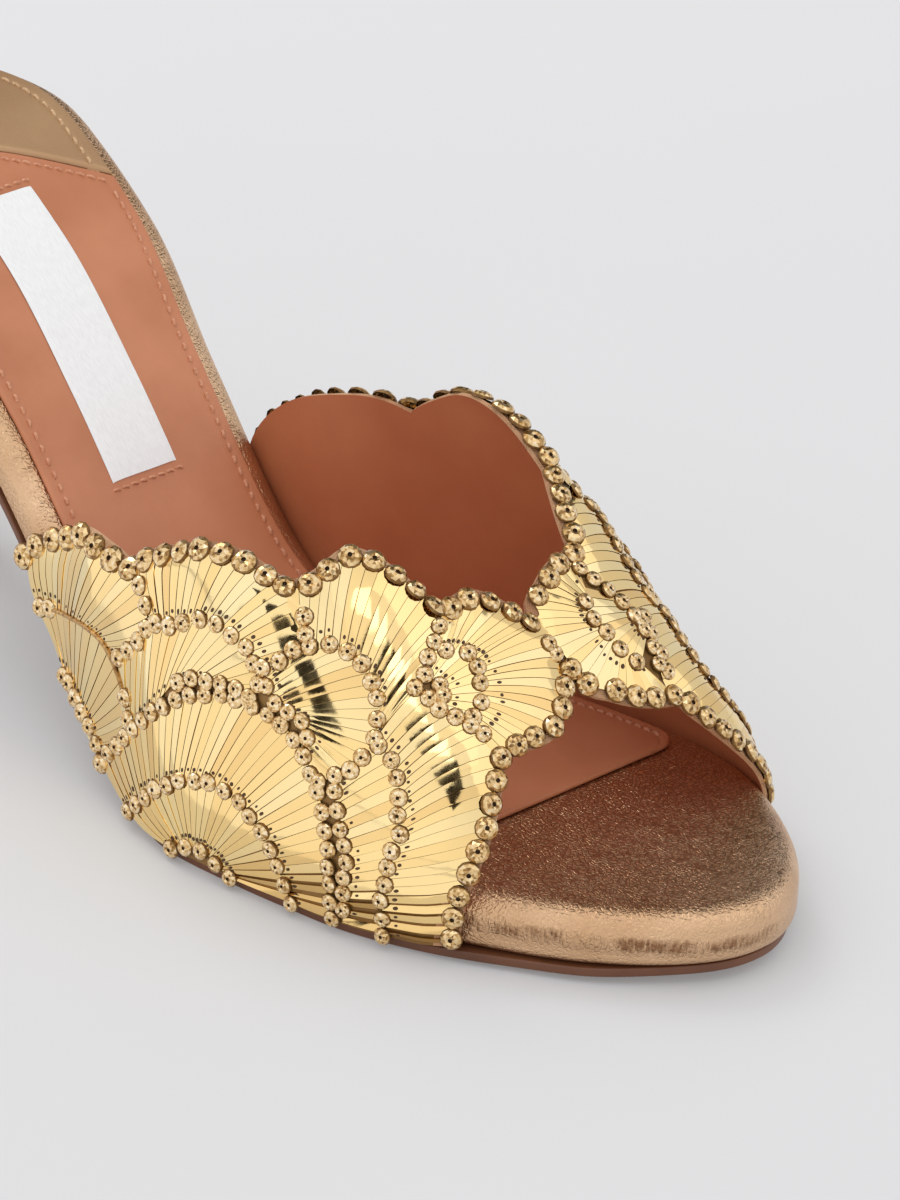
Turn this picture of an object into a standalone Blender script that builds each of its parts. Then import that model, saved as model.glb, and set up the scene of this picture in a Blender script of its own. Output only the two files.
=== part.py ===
"""A high-heeled mule, right shoe, standing on its sole and heel tip.

Metres, +Z up, the floor at Z = 0. The toe points to -Y and the outer side of the foot is at -X.
The origin is on the floor, under the middle of the flat tread of the forefoot.

Everything hangs on one last: a table of stations from the heel's back to the toe tip. A place on
the shoe is a station s (level distance from the heel's back) and an offset t (positive towards
the inner side of the foot).
"""

import math

import bmesh
import bpy
from mathutils import Vector

MM = 0.001
GAP = 0.3 * MM  # between pieces that touch

# Driving sizes
SHOE_LENGTH = 214 * MM
OUTSOLE_THICKNESS = 1.6 * MM
FOOTBED_THICKNESS = 9.0 * MM
SOCK_THICKNESS = 0.9 * MM
UPPER_WALL = 2.0 * MM
HEEL_TIP_HEIGHT = 5.0 * MM
TREAD_START = 0.58  # the flat tread, as shares of the length
TREAD_END = 0.74
TREAD_MIDDLE = 0.66  # the origin's station

FOOTBED_TOP = OUTSOLE_THICKNESS + GAP + FOOTBED_THICKNESS  # at the tread

# The last's bottom. share: of the length, from the heel's back. half_width: half of the footbed's
# width there. centre: its middle, towards the inner side. rise: above its height at the tread.
LAST_COLUMNS = ("share", "half_width", "centre", "rise")
LAST = (
    (0.00, 24.8, -0.9, 73.5),
    (0.10, 27.5, 0.8, 64.8),
    (0.20, 27.0, 0.9, 51.7),
    (0.30, 24.4, -1.0, 34.9),
    (0.40, 24.0, -4.2, 17.3),
    (0.48, 26.7, -6.9, 6.2),
    (TREAD_START, 33.0, -6.2, 0.0),
    (0.66, 36.2, -2.2, 0.0),
    (TREAD_END, 36.8, 1.2, 0.0),
    (0.84, 35.2, 4.4, 0.8),
    (0.92, 32.0, 5.5, 1.2),
    (1.00, 27.5, 5.7, 2.6),
)
HEEL_ROUND = 25.7 * MM  # how far the seat's round back reaches
TOE_ROUND = 58 * MM  # how far the round toe reaches
TOE_POWER = 2.13  # 2 is an ellipse, more is squarer

# The vamp's inside over the footbed. share: of the length. height: of its ridge above the
# footbed. ridge: how far the ridge leans to the inner side. outer_belly, inner_belly: how far
# each wall stands out, or leans in where it is negative.
VAMP_COLUMNS = ("share", "height", "ridge", "outer_belly", "inner_belly")
VAMP = (
    (0.30, 60.0, 3.0, 0.6, 0.0),
    (0.45, 62.0, 3.0, -0.5, -0.6),
    (0.58, 63.0, 2.6, -0.4, -1.2),
    (0.70, 45.5, 2.0, 0.8, -2.2),
    (0.78, 29.0, 1.5, 0.5, -3.2),
    (0.88, 9.0, 1.0, 0.0, -2.4),
)
VAMP_SHOULDER = 0.66  # below 1, the walls stand up before they turn in
VAMP_CROWN = 0.70  # below 1, the top is flat
VAMP_FOOT_GAP = 0.45 * MM  # from the wall's inside to the footbed's edge

# The vamp's two trimmed edges, each a chain of scallops. across: the angle over the vamp, from 0
# at its outer foot to 180 at its inner foot, where one scallop ends and the next begins. share:
# of the length, there. swell: how far the scallop before it stands out past the straight line.
# peak: how far along that scallop it stands out most, 0 to 1.
THROAT_EDGE = (
    (0, 0.350, 0.0, 0.50),
    (23, 0.510, 4.4, 0.76),
    (46, 0.660, 4.4, 0.50),
    (73, 0.734, 6.4, 0.72),
    (89, 0.764, 3.2, 0.65),
    (101, 0.736, 3.0, 0.25),
    (115, 0.680, 2.2, 0.35),
    (141, 0.540, 4.4, 0.42),
    (180, 0.346, 5.6, 0.20),
)
TOE_EDGE = (
    (0, 0.847, 0.0, 0.50),
    (61, 0.826, 3.1, 0.60),
    (89, 0.800, 4.2, 0.68),
    (108, 0.836, 4.6, 0.22),
    (180, 0.862, 3.3, 0.35),
)

SCALLOP_ROUND = 0.8  # below 1, a scallop is fuller than a sine wave

# The heel's breast and its tip
HEEL_BREAST = 0.215 * SHOE_LENGTH
BREAST_HOLLOW = 3.0 * MM  # how far the front of the heel curves in
TIP_BACK = 13 * MM
TIP_LENGTH = 13 * MM
TIP_HALF_WIDTH = 6.2 * MM
HEEL_WAIST = 2.5  # how soon the heel narrows under the seat

# The leather sock and the heel panel on the footbed
SOCK_INSET = 3.2 * MM
SOCK_FRONT = 0.780 * SHOE_LENGTH
SOCK_CORNER = 4.5 * MM
SEAM_APEX = 25.4 * MM  # where the seam between them crosses the middle
SEAM_SLANT = 0.59  # how much it runs forward for each step sideways
SEAM_BLUNT = 5 * MM  # its rounded point

# The rounding of the layers' edges
OUTSOLE_UNDER_ROUND = 0.4 * MM
OUTSOLE_TOP_ROUND = 0.3 * MM
FOOTBED_UNDER_ROUND = 1.6 * MM
FOOTBED_TOP_ROUND = 4.0 * MM

# How far the outsole stands out past the footbed
OUTSOLE_EDGE = 0.2 * MM
OUTSOLE_WELT = 1.2 * MM  # more under the vamp, to carry its foot
OUTSOLE_TOE_TUCK = 1.3 * MM  # less round the toe

# Mesh sizes
SHARP_ANGLE = math.radians(40)
SIDE_POINTS = 40  # along each side of the outline
ACROSS_POINTS = 6
VAMP_ACROSS = 96
VAMP_ALONG = 12
ROUND_STEPS = 4


def along(table, columns, name, share):
    """The named column of a table at a share of the length, on a smooth curve with no overshoot."""
    here = columns.index(name)
    xs = [row[0] for row in table]
    ys = [row[here] for row in table]
    share = min(max(share, xs[0]), xs[-1])
    slopes = [(ys[i + 1] - ys[i]) / (xs[i + 1] - xs[i]) for i in range(len(xs) - 1)]
    tangents = [slopes[0]]
    for before, after in zip(slopes, slopes[1:]):
        if before * after <= 0:
            tangents.append(0.0)
            continue
        limit = 3 * min(abs(before), abs(after))
        tangents.append(math.copysign(min(abs(before + after) / 2, limit), before))
    tangents.append(slopes[-1])
    i = max(k for k in range(len(xs) - 1) if xs[k] <= share or k == 0)
    step = xs[i + 1] - xs[i]
    f = (share - xs[i]) / step
    start = ys[i] * (1 + 2 * f) * (1 - f) ** 2 + tangents[i] * step * f * (1 - f) ** 2
    end = ys[i + 1] * f * f * (3 - 2 * f) - tangents[i + 1] * step * f * f * (1 - f)
    return start + end


def last(name, s):
    return along(LAST, LAST_COLUMNS, name, s / SHOE_LENGTH) * MM


def centre(s):
    return last("centre", s)


def rise(s):
    return last("rise", s)


def half_width(s):
    """Half of the footbed's width at a station, with its round heel and round toe."""
    from_heel = min(max((HEEL_ROUND - s) / HEEL_ROUND, 0), 1)
    to_toe = min(max((s - SHOE_LENGTH + TOE_ROUND) / TOE_ROUND, 0), 1)
    heel_end = math.sqrt(1 - from_heel**2)
    toe_end = (1 - to_toe**TOE_POWER) ** (1 / TOE_POWER)
    return last("half_width", s) * heel_end * toe_end


def place(s, t, height):
    """The world point at a station, an offset and a height above the floor."""
    return Vector((t, TREAD_MIDDLE * SHOE_LENGTH - s, height))


def smooth_step(x):
    x = min(max(x, 0), 1)
    return x * x * (3 - 2 * x)


def side_line(side, inset, start=0.0, end=SHOE_LENGTH, points=SIDE_POINTS):
    """(s, t) along one side of the outline, moved in by inset, which is a length or a function of s.

    side is -1 for the outer side of the foot and 1 for the inner. The points crowd together where
    the outline turns round the heel and the toe.
    """
    found = []
    first = math.acos(1 - 2 * start / SHOE_LENGTH)
    final = math.acos(1 - 2 * end / SHOE_LENGTH)
    tiny = 1e-4
    for k in range(points + 1):
        turn = first + (final - first) * k / points
        s = SHOE_LENGTH * (1 - math.cos(turn)) / 2
        near = [
            SHOE_LENGTH * (1 - math.cos(min(max(turn + d, 0), math.pi))) / 2 for d in (-tiny, tiny)
        ]
        edge = [centre(x) + side * half_width(x) for x in near]
        run = Vector((near[1] - near[0], edge[1] - edge[0])).normalized()
        if s < tiny * SHOE_LENGTH:
            run = Vector((0.0, side))
        if s > SHOE_LENGTH * (1 - tiny):
            run = Vector((0.0, -side))
        inward = Vector((run.y, -run.x)) * side
        depth = inset(s) if callable(inset) else inset
        found.append((s + inward.x * depth, centre(s) + side * half_width(s) + inward.y * depth))
    return found


def new_object(name, mesh_data, collection, material):
    mesh = bpy.data.meshes.new(name)
    mesh_data.to_mesh(mesh)
    mesh_data.free()
    mesh.shade_smooth()
    mesh.set_sharp_from_angle(angle=SHARP_ANGLE)
    mesh.materials.append(material)
    piece = bpy.data.objects.new(name, mesh)
    collection.objects.link(piece)
    return piece


def make_material(name, colour, roughness, metallic):
    material = bpy.data.materials.new(name)
    material.use_nodes = True
    shader = material.node_tree.nodes["Principled BSDF"]
    shader.inputs["Base Color"].default_value = (*colour, 1)
    shader.inputs["Roughness"].default_value = roughness
    shader.inputs["Metallic"].default_value = metallic
    return material


def rounded_edge(thickness, bottom_radius, top_radius):
    """(inset, level) from the bottom round the edge to the top, with a quarter circle at each."""
    profile = []
    for k in range(ROUND_STEPS + 1):
        angle = math.pi / 2 * k / ROUND_STEPS
        inset = bottom_radius * (1 - math.sin(angle))
        profile.append((inset, bottom_radius * (1 - math.cos(angle))))
    for k in range(ROUND_STEPS + 1):
        angle = math.pi / 2 * k / ROUND_STEPS
        inset = top_radius * (1 - math.cos(angle))
        profile.append((inset, thickness - top_radius * (1 - math.sin(angle))))
    return profile


def slab(name, profile, floor_level, collection, material, start=0.0, outset=None):
    """A closed layer of the sole: rings round its edge, then the top and the bottom ruled across.

    profile is a list of (inset, level above the layer's underside). start is the station where
    the layer begins: 0 closes it round the heel, more cuts it straight across. outset is a
    function of s that widens the outline.
    """
    mesh = bmesh.new()
    rings = []
    for inset, level in profile:
        depth = inset if outset is None else (lambda s, i=inset: i - outset(s))
        outer = side_line(-1, depth, start)
        inner = side_line(1, depth, start)
        rows = []
        for (s_out, t_out), (s_in, t_in) in zip(outer, inner):
            row = []
            for k in range(ACROSS_POINTS + 1):
                f = k / ACROSS_POINTS
                s = s_out + (s_in - s_out) * f
                t = t_out + (t_in - t_out) * f
                row.append(place(s, t, rise(s) + floor_level + level))
            rows.append(row)
        rings.append(rows)
    add_layer_faces(mesh, rings, closed_heel=start == 0)
    bmesh.ops.recalc_face_normals(mesh, faces=mesh.faces)
    return new_object(name, mesh, collection, material)


def add_layer_faces(mesh, rings, closed_heel):
    """The faces of a layer whose rings each hold rows of points across, from heel to toe."""
    count = len(rings[0])
    loops = []
    for rows in rings:
        outer = [mesh.verts.new(row[0]) for row in rows[:-1]]
        toe = [mesh.verts.new(rows[-1][0])]
        inner = [mesh.verts.new(row[-1]) for row in reversed(rows[:-1])]
        if closed_heel:
            inner = inner[:-1]
            across = []
        else:
            across = [mesh.verts.new(point) for point in reversed(rows[0][1:-1])]
        loops.append(outer + toe + inner + across)
    for lower, upper in zip(loops, loops[1:]):
        for i in range(len(lower)):
            j = (i + 1) % len(lower)
            mesh.faces.new((lower[i], lower[j], upper[j], upper[i]))
    for loop, rows in ((loops[0], rings[0]), (loops[-1], rings[-1])):
        grid = []
        for k, row in enumerate(rows):
            if k == count - 1 or (k == 0 and closed_heel):
                grid.append([loop[k]])
                continue
            far = 2 * (count - 1) - k
            if k == 0:
                middle = list(reversed(loop[far + 1 :]))
            else:
                middle = [mesh.verts.new(point) for point in row[1:-1]]
            grid.append([loop[k], *middle, loop[far]])
        for near_row, far_row in zip(grid, grid[1:]):
            bridge_rows(mesh, near_row, far_row)


def bridge_rows(mesh, first, second):
    """Faces between two rows of points. A row of one point makes a fan."""
    steps = max(len(first), len(second)) - 1
    for k in range(steps):
        corners = []
        for row, order in ((first, (k, k + 1)), (second, (k + 1, k))):
            for i in order:
                corner = row[min(i, len(row) - 1)]
                if corner not in corners:
                    corners.append(corner)
        mesh.faces.new(corners)


def grid_sheet(name, rows, thickness, offset, collection, material):
    """An open sheet of rows of points, thickened by Solidify. One point in a row closes it."""
    mesh = bmesh.new()
    made = [[mesh.verts.new(point) for point in row] for row in rows]
    for first, second in zip(made, made[1:]):
        bridge_rows(mesh, first, second)
    piece = new_object(name, mesh, collection, material)
    solidify = piece.modifiers.new("thickness", "SOLIDIFY")
    solidify.thickness = thickness
    solidify.offset = offset
    solidify.use_even_offset = True
    return piece


def outsole_flare(s):
    """How far the outsole stands out past the footbed: more under the vamp, tucked in at the toe."""
    share = s / SHOE_LENGTH
    under_vamp = smooth_step((share - 0.52) / 0.08) * smooth_step((0.90 - share) / 0.08)
    at_toe = smooth_step((share - 0.92) / 0.06)
    return OUTSOLE_EDGE + OUTSOLE_WELT * under_vamp - OUTSOLE_TOE_TUCK * at_toe


def make_outsole(collection, material):
    profile = (
        (OUTSOLE_UNDER_ROUND, 0.0),
        (0.0, OUTSOLE_UNDER_ROUND),
        (0.0, OUTSOLE_THICKNESS - OUTSOLE_TOP_ROUND),
        (OUTSOLE_TOP_ROUND, OUTSOLE_THICKNESS),
    )
    start = HEEL_BREAST + GAP
    return slab("outsole", profile, 0.0, collection, material, start, outsole_flare)


def make_footbed(collection, material):
    profile = rounded_edge(FOOTBED_THICKNESS, FOOTBED_UNDER_ROUND, FOOTBED_TOP_ROUND)
    return slab("footbed", profile, OUTSOLE_THICKNESS + GAP, collection, material)


def seam_station(t):
    """The station of the seam between the sock and the heel panel, a blunt V."""
    return SEAM_APEX + SEAM_SLANT * (math.hypot(t, SEAM_BLUNT) - SEAM_BLUNT)


def sock_point(s, across, narrowing=0.0):
    reach = max(half_width(s) - SOCK_INSET - narrowing, 0)
    return place(s, centre(s) + across * reach, rise(s) + FOOTBED_TOP + GAP)


def seam_at(across, behind):
    """The station on the seam at a share across, set back by behind."""
    s = SEAM_APEX
    for _ in range(8):
        s = seam_station(across * (half_width(s) - SOCK_INSET)) - behind
    return s


def make_sock_lining(collection, material):
    """The sock, from the seam to its straight front edge with round corners."""
    rows = []
    lengthwise = 30
    for k in range(lengthwise + 1):
        f = math.sin(math.pi / 2 * k / lengthwise) ** 0.9
        row = []
        for m in range(ACROSS_POINTS * 2 + 1):
            across = 2 * m / (ACROSS_POINTS * 2) - 1
            back = seam_at(across, 0.0)
            s = back + (SOCK_FRONT - back) * f
            into_corner = min(max(s - SOCK_FRONT + SOCK_CORNER, 0), SOCK_CORNER)
            narrowing = SOCK_CORNER - math.sqrt(SOCK_CORNER**2 - into_corner**2)
            row.append(sock_point(s, across, narrowing))
        rows.append(row)
    return grid_sheet("sock_lining", rows, SOCK_THICKNESS, -1, collection, material)


def make_heel_sock(collection, material):
    """The panel on the heel seat, from the seam to the seat's round back."""
    rows = []
    lengthwise = 10
    back = SOCK_INSET
    for k in range(lengthwise):
        f = math.sin(math.pi / 2 * k / lengthwise)
        row = []
        for m in range(ACROSS_POINTS * 2 + 1):
            across = 2 * m / (ACROSS_POINTS * 2) - 1
            seam = seam_at(across, GAP)
            s = seam + (back - seam) * f
            shrink = math.sqrt(max(1 - (1 - (s - back) / (HEEL_ROUND - back)) ** 2, 0))
            reach = shrink * (last("half_width", s) - SOCK_INSET)
            if s > HEEL_ROUND:
                reach = half_width(s) - SOCK_INSET
            row.append(place(s, centre(s) + across * reach, rise(s) + FOOTBED_TOP + GAP))
        rows.append(row)
    rows.append([place(back, centre(back), rise(back) + FOOTBED_TOP + GAP)])
    return grid_sheet("heel_sock", rows, SOCK_THICKNESS, 1, collection, material)


def vamp_point(s, across):
    """The inside of the vamp at a station and an angle across, from 0 outer to 180 inner."""
    share = s / SHOE_LENGTH
    height = along(VAMP, VAMP_COLUMNS, "height", share) * MM
    ridge = along(VAMP, VAMP_COLUMNS, "ridge", share) * MM
    wall = "outer_belly" if across < 90 else "inner_belly"
    belly = along(VAMP, VAMP_COLUMNS, wall, share) * MM
    angle = math.radians(across)
    side = -math.cos(angle)
    up = math.sin(angle)
    reach = half_width(s) + VAMP_FOOT_GAP
    t = centre(s) + math.copysign(abs(side) ** VAMP_SHOULDER, side) * reach
    t += ridge * up**2 + math.copysign(1, side) * belly * math.sin(2 * angle) ** 2
    foot = rise(s) + OUTSOLE_THICKNESS + 1.5 * GAP
    crown = rise(s) + FOOTBED_TOP + height
    return place(s, t, foot + (crown - foot) * max(up, 0) ** VAMP_CROWN)


def edge_station(table, across):
    """The station of a scalloped edge at an angle across the vamp, and how far it swells there."""
    for (start, share, _, _), (end, next_share, swell, peak) in zip(table, table[1:]):
        if across <= end:
            f = (across - start) / (end - start)
            turn = math.pi * f ** (math.log(0.5) / math.log(peak))
            straight = (share + (next_share - share) * f) * SHOE_LENGTH
            return straight, swell * MM * math.sin(turn) ** SCALLOP_ROUND
    return table[-1][1] * SHOE_LENGTH, 0.0


def make_upper(collection, material):
    """The bow-shaped vamp: one sheet over the forefoot between two scalloped edges."""
    rows = []
    for k in range(VAMP_ACROSS + 1):
        across = 180 * k / VAMP_ACROSS
        throat, throat_swell = edge_station(THROAT_EDGE, across)
        toe, toe_swell = edge_station(TOE_EDGE, across)
        back = throat - throat_swell
        front = toe + toe_swell
        row = []
        for m in range(VAMP_ALONG + 1):
            row.append(vamp_point(back + (front - back) * m / VAMP_ALONG, across))
        rows.append(row)
    return grid_sheet("upper", rows, UPPER_WALL, 1, collection, material)


def tip_outline(count_back, count_front):
    """(s, t) round the heel tip: a half circle behind, straight sides, a straight front."""
    arc_centre = TIP_BACK + TIP_HALF_WIDTH
    front = TIP_BACK + TIP_LENGTH
    side = front - arc_centre
    arc = math.pi * TIP_HALF_WIDTH
    total = arc + 2 * side
    points = []
    for k in range(count_back + 1):
        d = total * k / count_back
        if d < side:
            points.append((front - d, -TIP_HALF_WIDTH))
        elif d < side + arc:
            turn = (d - side) / TIP_HALF_WIDTH
            s = arc_centre - TIP_HALF_WIDTH * math.sin(turn)
            points.append((s, -TIP_HALF_WIDTH * math.cos(turn)))
        else:
            points.append((arc_centre + d - side - arc, TIP_HALF_WIDTH))
    for k in range(1, count_front):
        points.append((front, TIP_HALF_WIDTH * (1 - 2 * k / count_front)))
    return points


def seat_outline(count_back, count_front):
    """(s, t) round the heel's top, matched point for point to the tip's outline."""
    half = count_back // 2
    inset = 0.6 * MM
    outer = side_line(-1, inset, 0.0, HEEL_BREAST, half)
    inner = side_line(1, inset, 0.0, HEEL_BREAST, half)
    points = list(reversed(outer)) + inner[1:]
    for k in range(1, count_front):
        f = k / count_front
        t = inner[-1][1] + (outer[-1][1] - inner[-1][1]) * f
        hollow = BREAST_HOLLOW * math.sin(math.pi * f)
        points.append((HEEL_BREAST - hollow, t))
    return points


def make_heel(collection, material):
    """The covered heel, a loft from the seat's outline down to the small tip."""
    count_back = 28
    count_front = 6
    seat = seat_outline(count_back, count_front)
    tip = tip_outline(count_back, count_front)
    foot = HEEL_TIP_HEIGHT + GAP
    rings = 14
    mesh = bmesh.new()
    loops = []
    for r in range(rings + 1):
        down = r / rings
        narrow = 1 - (1 - down) ** HEEL_WAIST
        loop = []
        for (s_seat, t_seat), (s_tip, t_tip) in zip(seat, tip):
            s = s_seat + (s_tip - s_seat) * narrow
            t = t_seat + (t_tip - t_seat) * narrow
            top = rise(s_seat) + OUTSOLE_THICKNESS
            loop.append(mesh.verts.new(place(s, t, top + (foot - top) * down)))
        loops.append(loop)
    for upper, lower in zip(loops, loops[1:]):
        for i in range(len(upper)):
            j = (i + 1) % len(upper)
            mesh.faces.new((upper[i], upper[j], lower[j], lower[i]))
    for loop in (loops[0], loops[-1]):
        half = count_back // 2
        grid = [[loop[half]]]
        for k in range(1, half + 1):
            grid.append([loop[half - k], loop[half + k]])
        for first, second in zip(grid, grid[1:]):
            bridge_rows(mesh, first, second)
        mesh.faces.new([loop[0], *reversed(loop[count_back:])])
    bmesh.ops.recalc_face_normals(mesh, faces=mesh.faces)
    return new_object("heel", mesh, collection, material)


def make_heel_tip(collection, material):
    """The wear pad under the heel: the tip's outline, extruded."""
    outline = tip_outline(28, 6)
    mesh = bmesh.new()
    face = mesh.faces.new([mesh.verts.new(place(s, t, 0.0)) for s, t in outline])
    lifted = bmesh.ops.extrude_face_region(mesh, geom=[face])["geom"]
    corners = [item for item in lifted if isinstance(item, bmesh.types.BMVert)]
    bmesh.ops.translate(mesh, verts=corners, vec=(0, 0, HEEL_TIP_HEIGHT))
    bmesh.ops.recalc_face_normals(mesh, faces=mesh.faces)
    piece = new_object("heel_tip", mesh, collection, material)
    bevel = piece.modifiers.new("edge", "BEVEL")
    bevel.width = 0.4 * MM
    bevel.segments = 2
    bevel.limit_method = "ANGLE"
    return piece


def main():
    for old in list(bpy.data.objects):
        bpy.data.objects.remove(old)
    collection = bpy.data.collections.new("heeled_mule")
    bpy.context.scene.collection.children.link(collection)

    gold_film = make_material("gold_mirror_film", (0.78, 0.60, 0.26), 0.15, 1.0)
    champagne = make_material("champagne_nappa", (0.66, 0.45, 0.29), 0.32, 0.7)
    pink_tan = make_material("pink_tan_sock_leather", (0.55, 0.24, 0.14), 0.55, 0.0)
    gold_tan = make_material("gold_tan_heel_leather", (0.46, 0.29, 0.16), 0.45, 0.3)
    brown_sole = make_material("brown_sole_leather", (0.15, 0.055, 0.025), 0.5, 0.0)
    rubber = make_material("brown_tip_rubber", (0.10, 0.05, 0.03), 0.7, 0.0)

    make_outsole(collection, brown_sole)
    make_footbed(collection, champagne)
    make_sock_lining(collection, pink_tan)
    make_heel_sock(collection, gold_tan)
    make_upper(collection, gold_film)
    make_heel(collection, champagne)
    make_heel_tip(collection, rubber)


main()
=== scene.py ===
# %% [markdown]
# # A heeled mule covered in gold strips and stones
# The shoe is made round a last: a footbed wrapped in metallic leather, a leather sock, a thin sole,
# a covered heel, and a vamp shaped like a bow. Fans of cut mirror film, edged with small stones,
# cover the vamp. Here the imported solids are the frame, and each piece is built again as finely as
# it shows, from the same last.

import math

import bmesh
import bpy
import numpy as np
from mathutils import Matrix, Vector


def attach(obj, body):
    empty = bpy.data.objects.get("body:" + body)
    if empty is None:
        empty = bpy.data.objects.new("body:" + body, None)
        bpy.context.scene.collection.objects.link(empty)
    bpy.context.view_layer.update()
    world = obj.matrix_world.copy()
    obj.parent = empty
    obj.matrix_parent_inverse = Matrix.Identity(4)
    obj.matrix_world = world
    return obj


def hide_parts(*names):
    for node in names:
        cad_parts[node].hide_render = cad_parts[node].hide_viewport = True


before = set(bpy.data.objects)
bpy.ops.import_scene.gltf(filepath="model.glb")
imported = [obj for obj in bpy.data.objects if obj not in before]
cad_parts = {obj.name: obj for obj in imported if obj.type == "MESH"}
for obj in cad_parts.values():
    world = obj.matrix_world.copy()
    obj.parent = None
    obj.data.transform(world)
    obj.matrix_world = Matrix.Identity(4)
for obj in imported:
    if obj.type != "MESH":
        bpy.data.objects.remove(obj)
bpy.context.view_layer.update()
MM = 0.001
chance = np.random.default_rng(11)
print("pieces in the frame:", ", ".join(sorted(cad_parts)))

# %% [markdown]
# ## The last
# A last is the foot-shaped form that a shoe is pulled over. A table of stations from the heel's
# back to the toe describes its bottom. Each station has half a width, a middle that wanders
# towards the inner side of the foot, and a height over the floor. A smooth curve that never
# overshoots reads the table between its rows, so a few rows give the whole arch.

# %% The last's tables
LENGTH = 214 * MM
MIDDLE = 0.66  # the origin's station, as a share of the length
OUTSOLE = 1.6 * MM
FOOTBED = 9.0 * MM
GAP = 0.3 * MM
BED_TOP = OUTSOLE + GAP + FOOTBED  # at the flat tread
HEEL_ROUND = 25.7 * MM
TOE_ROUND = 58 * MM
TOE_POWER = 2.13

# share of the length, half width, middle, rise over the tread (mm)
LAST = (
    (0.00, 24.8, -0.9, 73.5),
    (0.10, 27.5, 0.8, 64.8),
    (0.20, 27.0, 0.9, 51.7),
    (0.30, 24.4, -1.0, 34.9),
    (0.40, 24.0, -4.2, 17.3),
    (0.48, 26.7, -6.9, 6.2),
    (0.58, 33.0, -6.2, 0.0),
    (0.66, 36.2, -2.2, 0.0),
    (0.74, 36.8, 1.2, 0.0),
    (0.84, 35.2, 4.4, 0.8),
    (0.92, 32.0, 5.5, 1.2),
    (1.00, 27.5, 5.7, 2.6),
)


def reader(table, column, unit=1.0):
    """A function that reads one column at any share of the length."""
    xs = np.array([row[0] for row in table], float)
    ys = np.array([row[column] for row in table], float) * unit
    slopes = np.diff(ys) / np.diff(xs)
    tangents = np.concatenate([slopes[:1], np.zeros(len(xs) - 2), slopes[-1:]])
    for i, (before, after) in enumerate(zip(slopes, slopes[1:])):
        if before * after > 0:
            limit = 3 * min(abs(before), abs(after))
            tangents[i + 1] = np.sign(before) * min(abs(before + after) / 2, limit)

    def at(share):
        share = np.clip(share, xs[0], xs[-1])
        i = np.clip(np.searchsorted(xs, share, side="right") - 1, 0, len(xs) - 2)
        step = xs[i + 1] - xs[i]
        f = (share - xs[i]) / step
        start = ys[i] * (1 + 2 * f) * (1 - f) ** 2 + tangents[i] * step * f * (1 - f) ** 2
        end = ys[i + 1] * f * f * (3 - 2 * f) - tangents[i + 1] * step * f * f * (1 - f)
        return start + end

    return at


last_half, last_middle, last_rise = (reader(LAST, k, MM) for k in (1, 2, 3))


def middle(s):
    return last_middle(s / LENGTH)


def rise(s):
    return last_rise(s / LENGTH)


def half_width(s):
    """Half of the footbed's width, with its round heel and round toe."""
    from_heel = np.clip((HEEL_ROUND - s) / HEEL_ROUND, 0, 1)
    to_toe = np.clip((s - LENGTH + TOE_ROUND) / TOE_ROUND, 0, 1)
    toe_end = (1 - to_toe**TOE_POWER) ** (1 / TOE_POWER)
    return last_half(s / LENGTH) * np.sqrt(1 - from_heel**2) * toe_end


def place(s, t, height):
    """World points at stations s, offsets t and heights over the floor."""
    s, t, height = np.broadcast_arrays(s, t, height)
    return np.stack([t, MIDDLE * LENGTH - s, height], -1)


print("ball width: %.1f mm" % (2000 * half_width(0.72 * LENGTH)))

# %% [markdown]
# ## Colours and nodes
# Colours are written as they look on a screen and turned to linear light once. One small function
# adds a node, sets it and links it, so that each material reads as a short recipe. Many small
# finishes need no more than two shades that a noise mixes, so they share one recipe. Most scales
# are in cells per metre: at 1000, a pattern's cell is a millimetre wide.


# %% Helpers for materials
def colour(text):
    """An sRGB hex colour as linear RGBA."""
    parts = [int(text[i : i + 2], 16) / 255 for i in (1, 3, 5)]
    linear = [p / 12.92 if p <= 0.04045 else ((p + 0.055) / 1.055) ** 2.4 for p in parts]
    return (*linear, 1.0)


def add(tree, kind, links=None, stops=(), **settings):
    """A new node with its settings, and its inputs by name: a value, or a socket to link.

    Stops are the places and hex colours of a colour ramp."""
    made = tree.nodes.new(kind)
    for _ in stops[2:]:
        made.color_ramp.elements.new(0.5)
    for k, (where, shade) in enumerate(stops):
        made.color_ramp.elements[k].position = where
        made.color_ramp.elements[k].color = colour(shade)
    for name, value in settings.items():
        setattr(made, name, value)
    for name, value in (links or {}).items():
        if isinstance(value, bpy.types.NodeSocket):
            tree.links.new(value, made.inputs[name])
        else:
            made.inputs[name].default_value = value
    return made


def new_material(name, **values):
    """A material with one Principled shader. Values are given by the shader's own socket names."""
    made = bpy.data.materials.new(name)
    made.use_nodes = True
    shader = made.node_tree.nodes["Principled BSDF"]
    for key, value in values.items():
        shader.inputs[key.replace("_", " ")].default_value = value
    return made, made.node_tree, shader


def wire(shader, **sockets):
    """Links nodes' outputs to the shader's own sockets, by name."""
    for name, output in sockets.items():
        shader.id_data.links.new(output, shader.inputs[name.replace("_", " ")])


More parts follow.
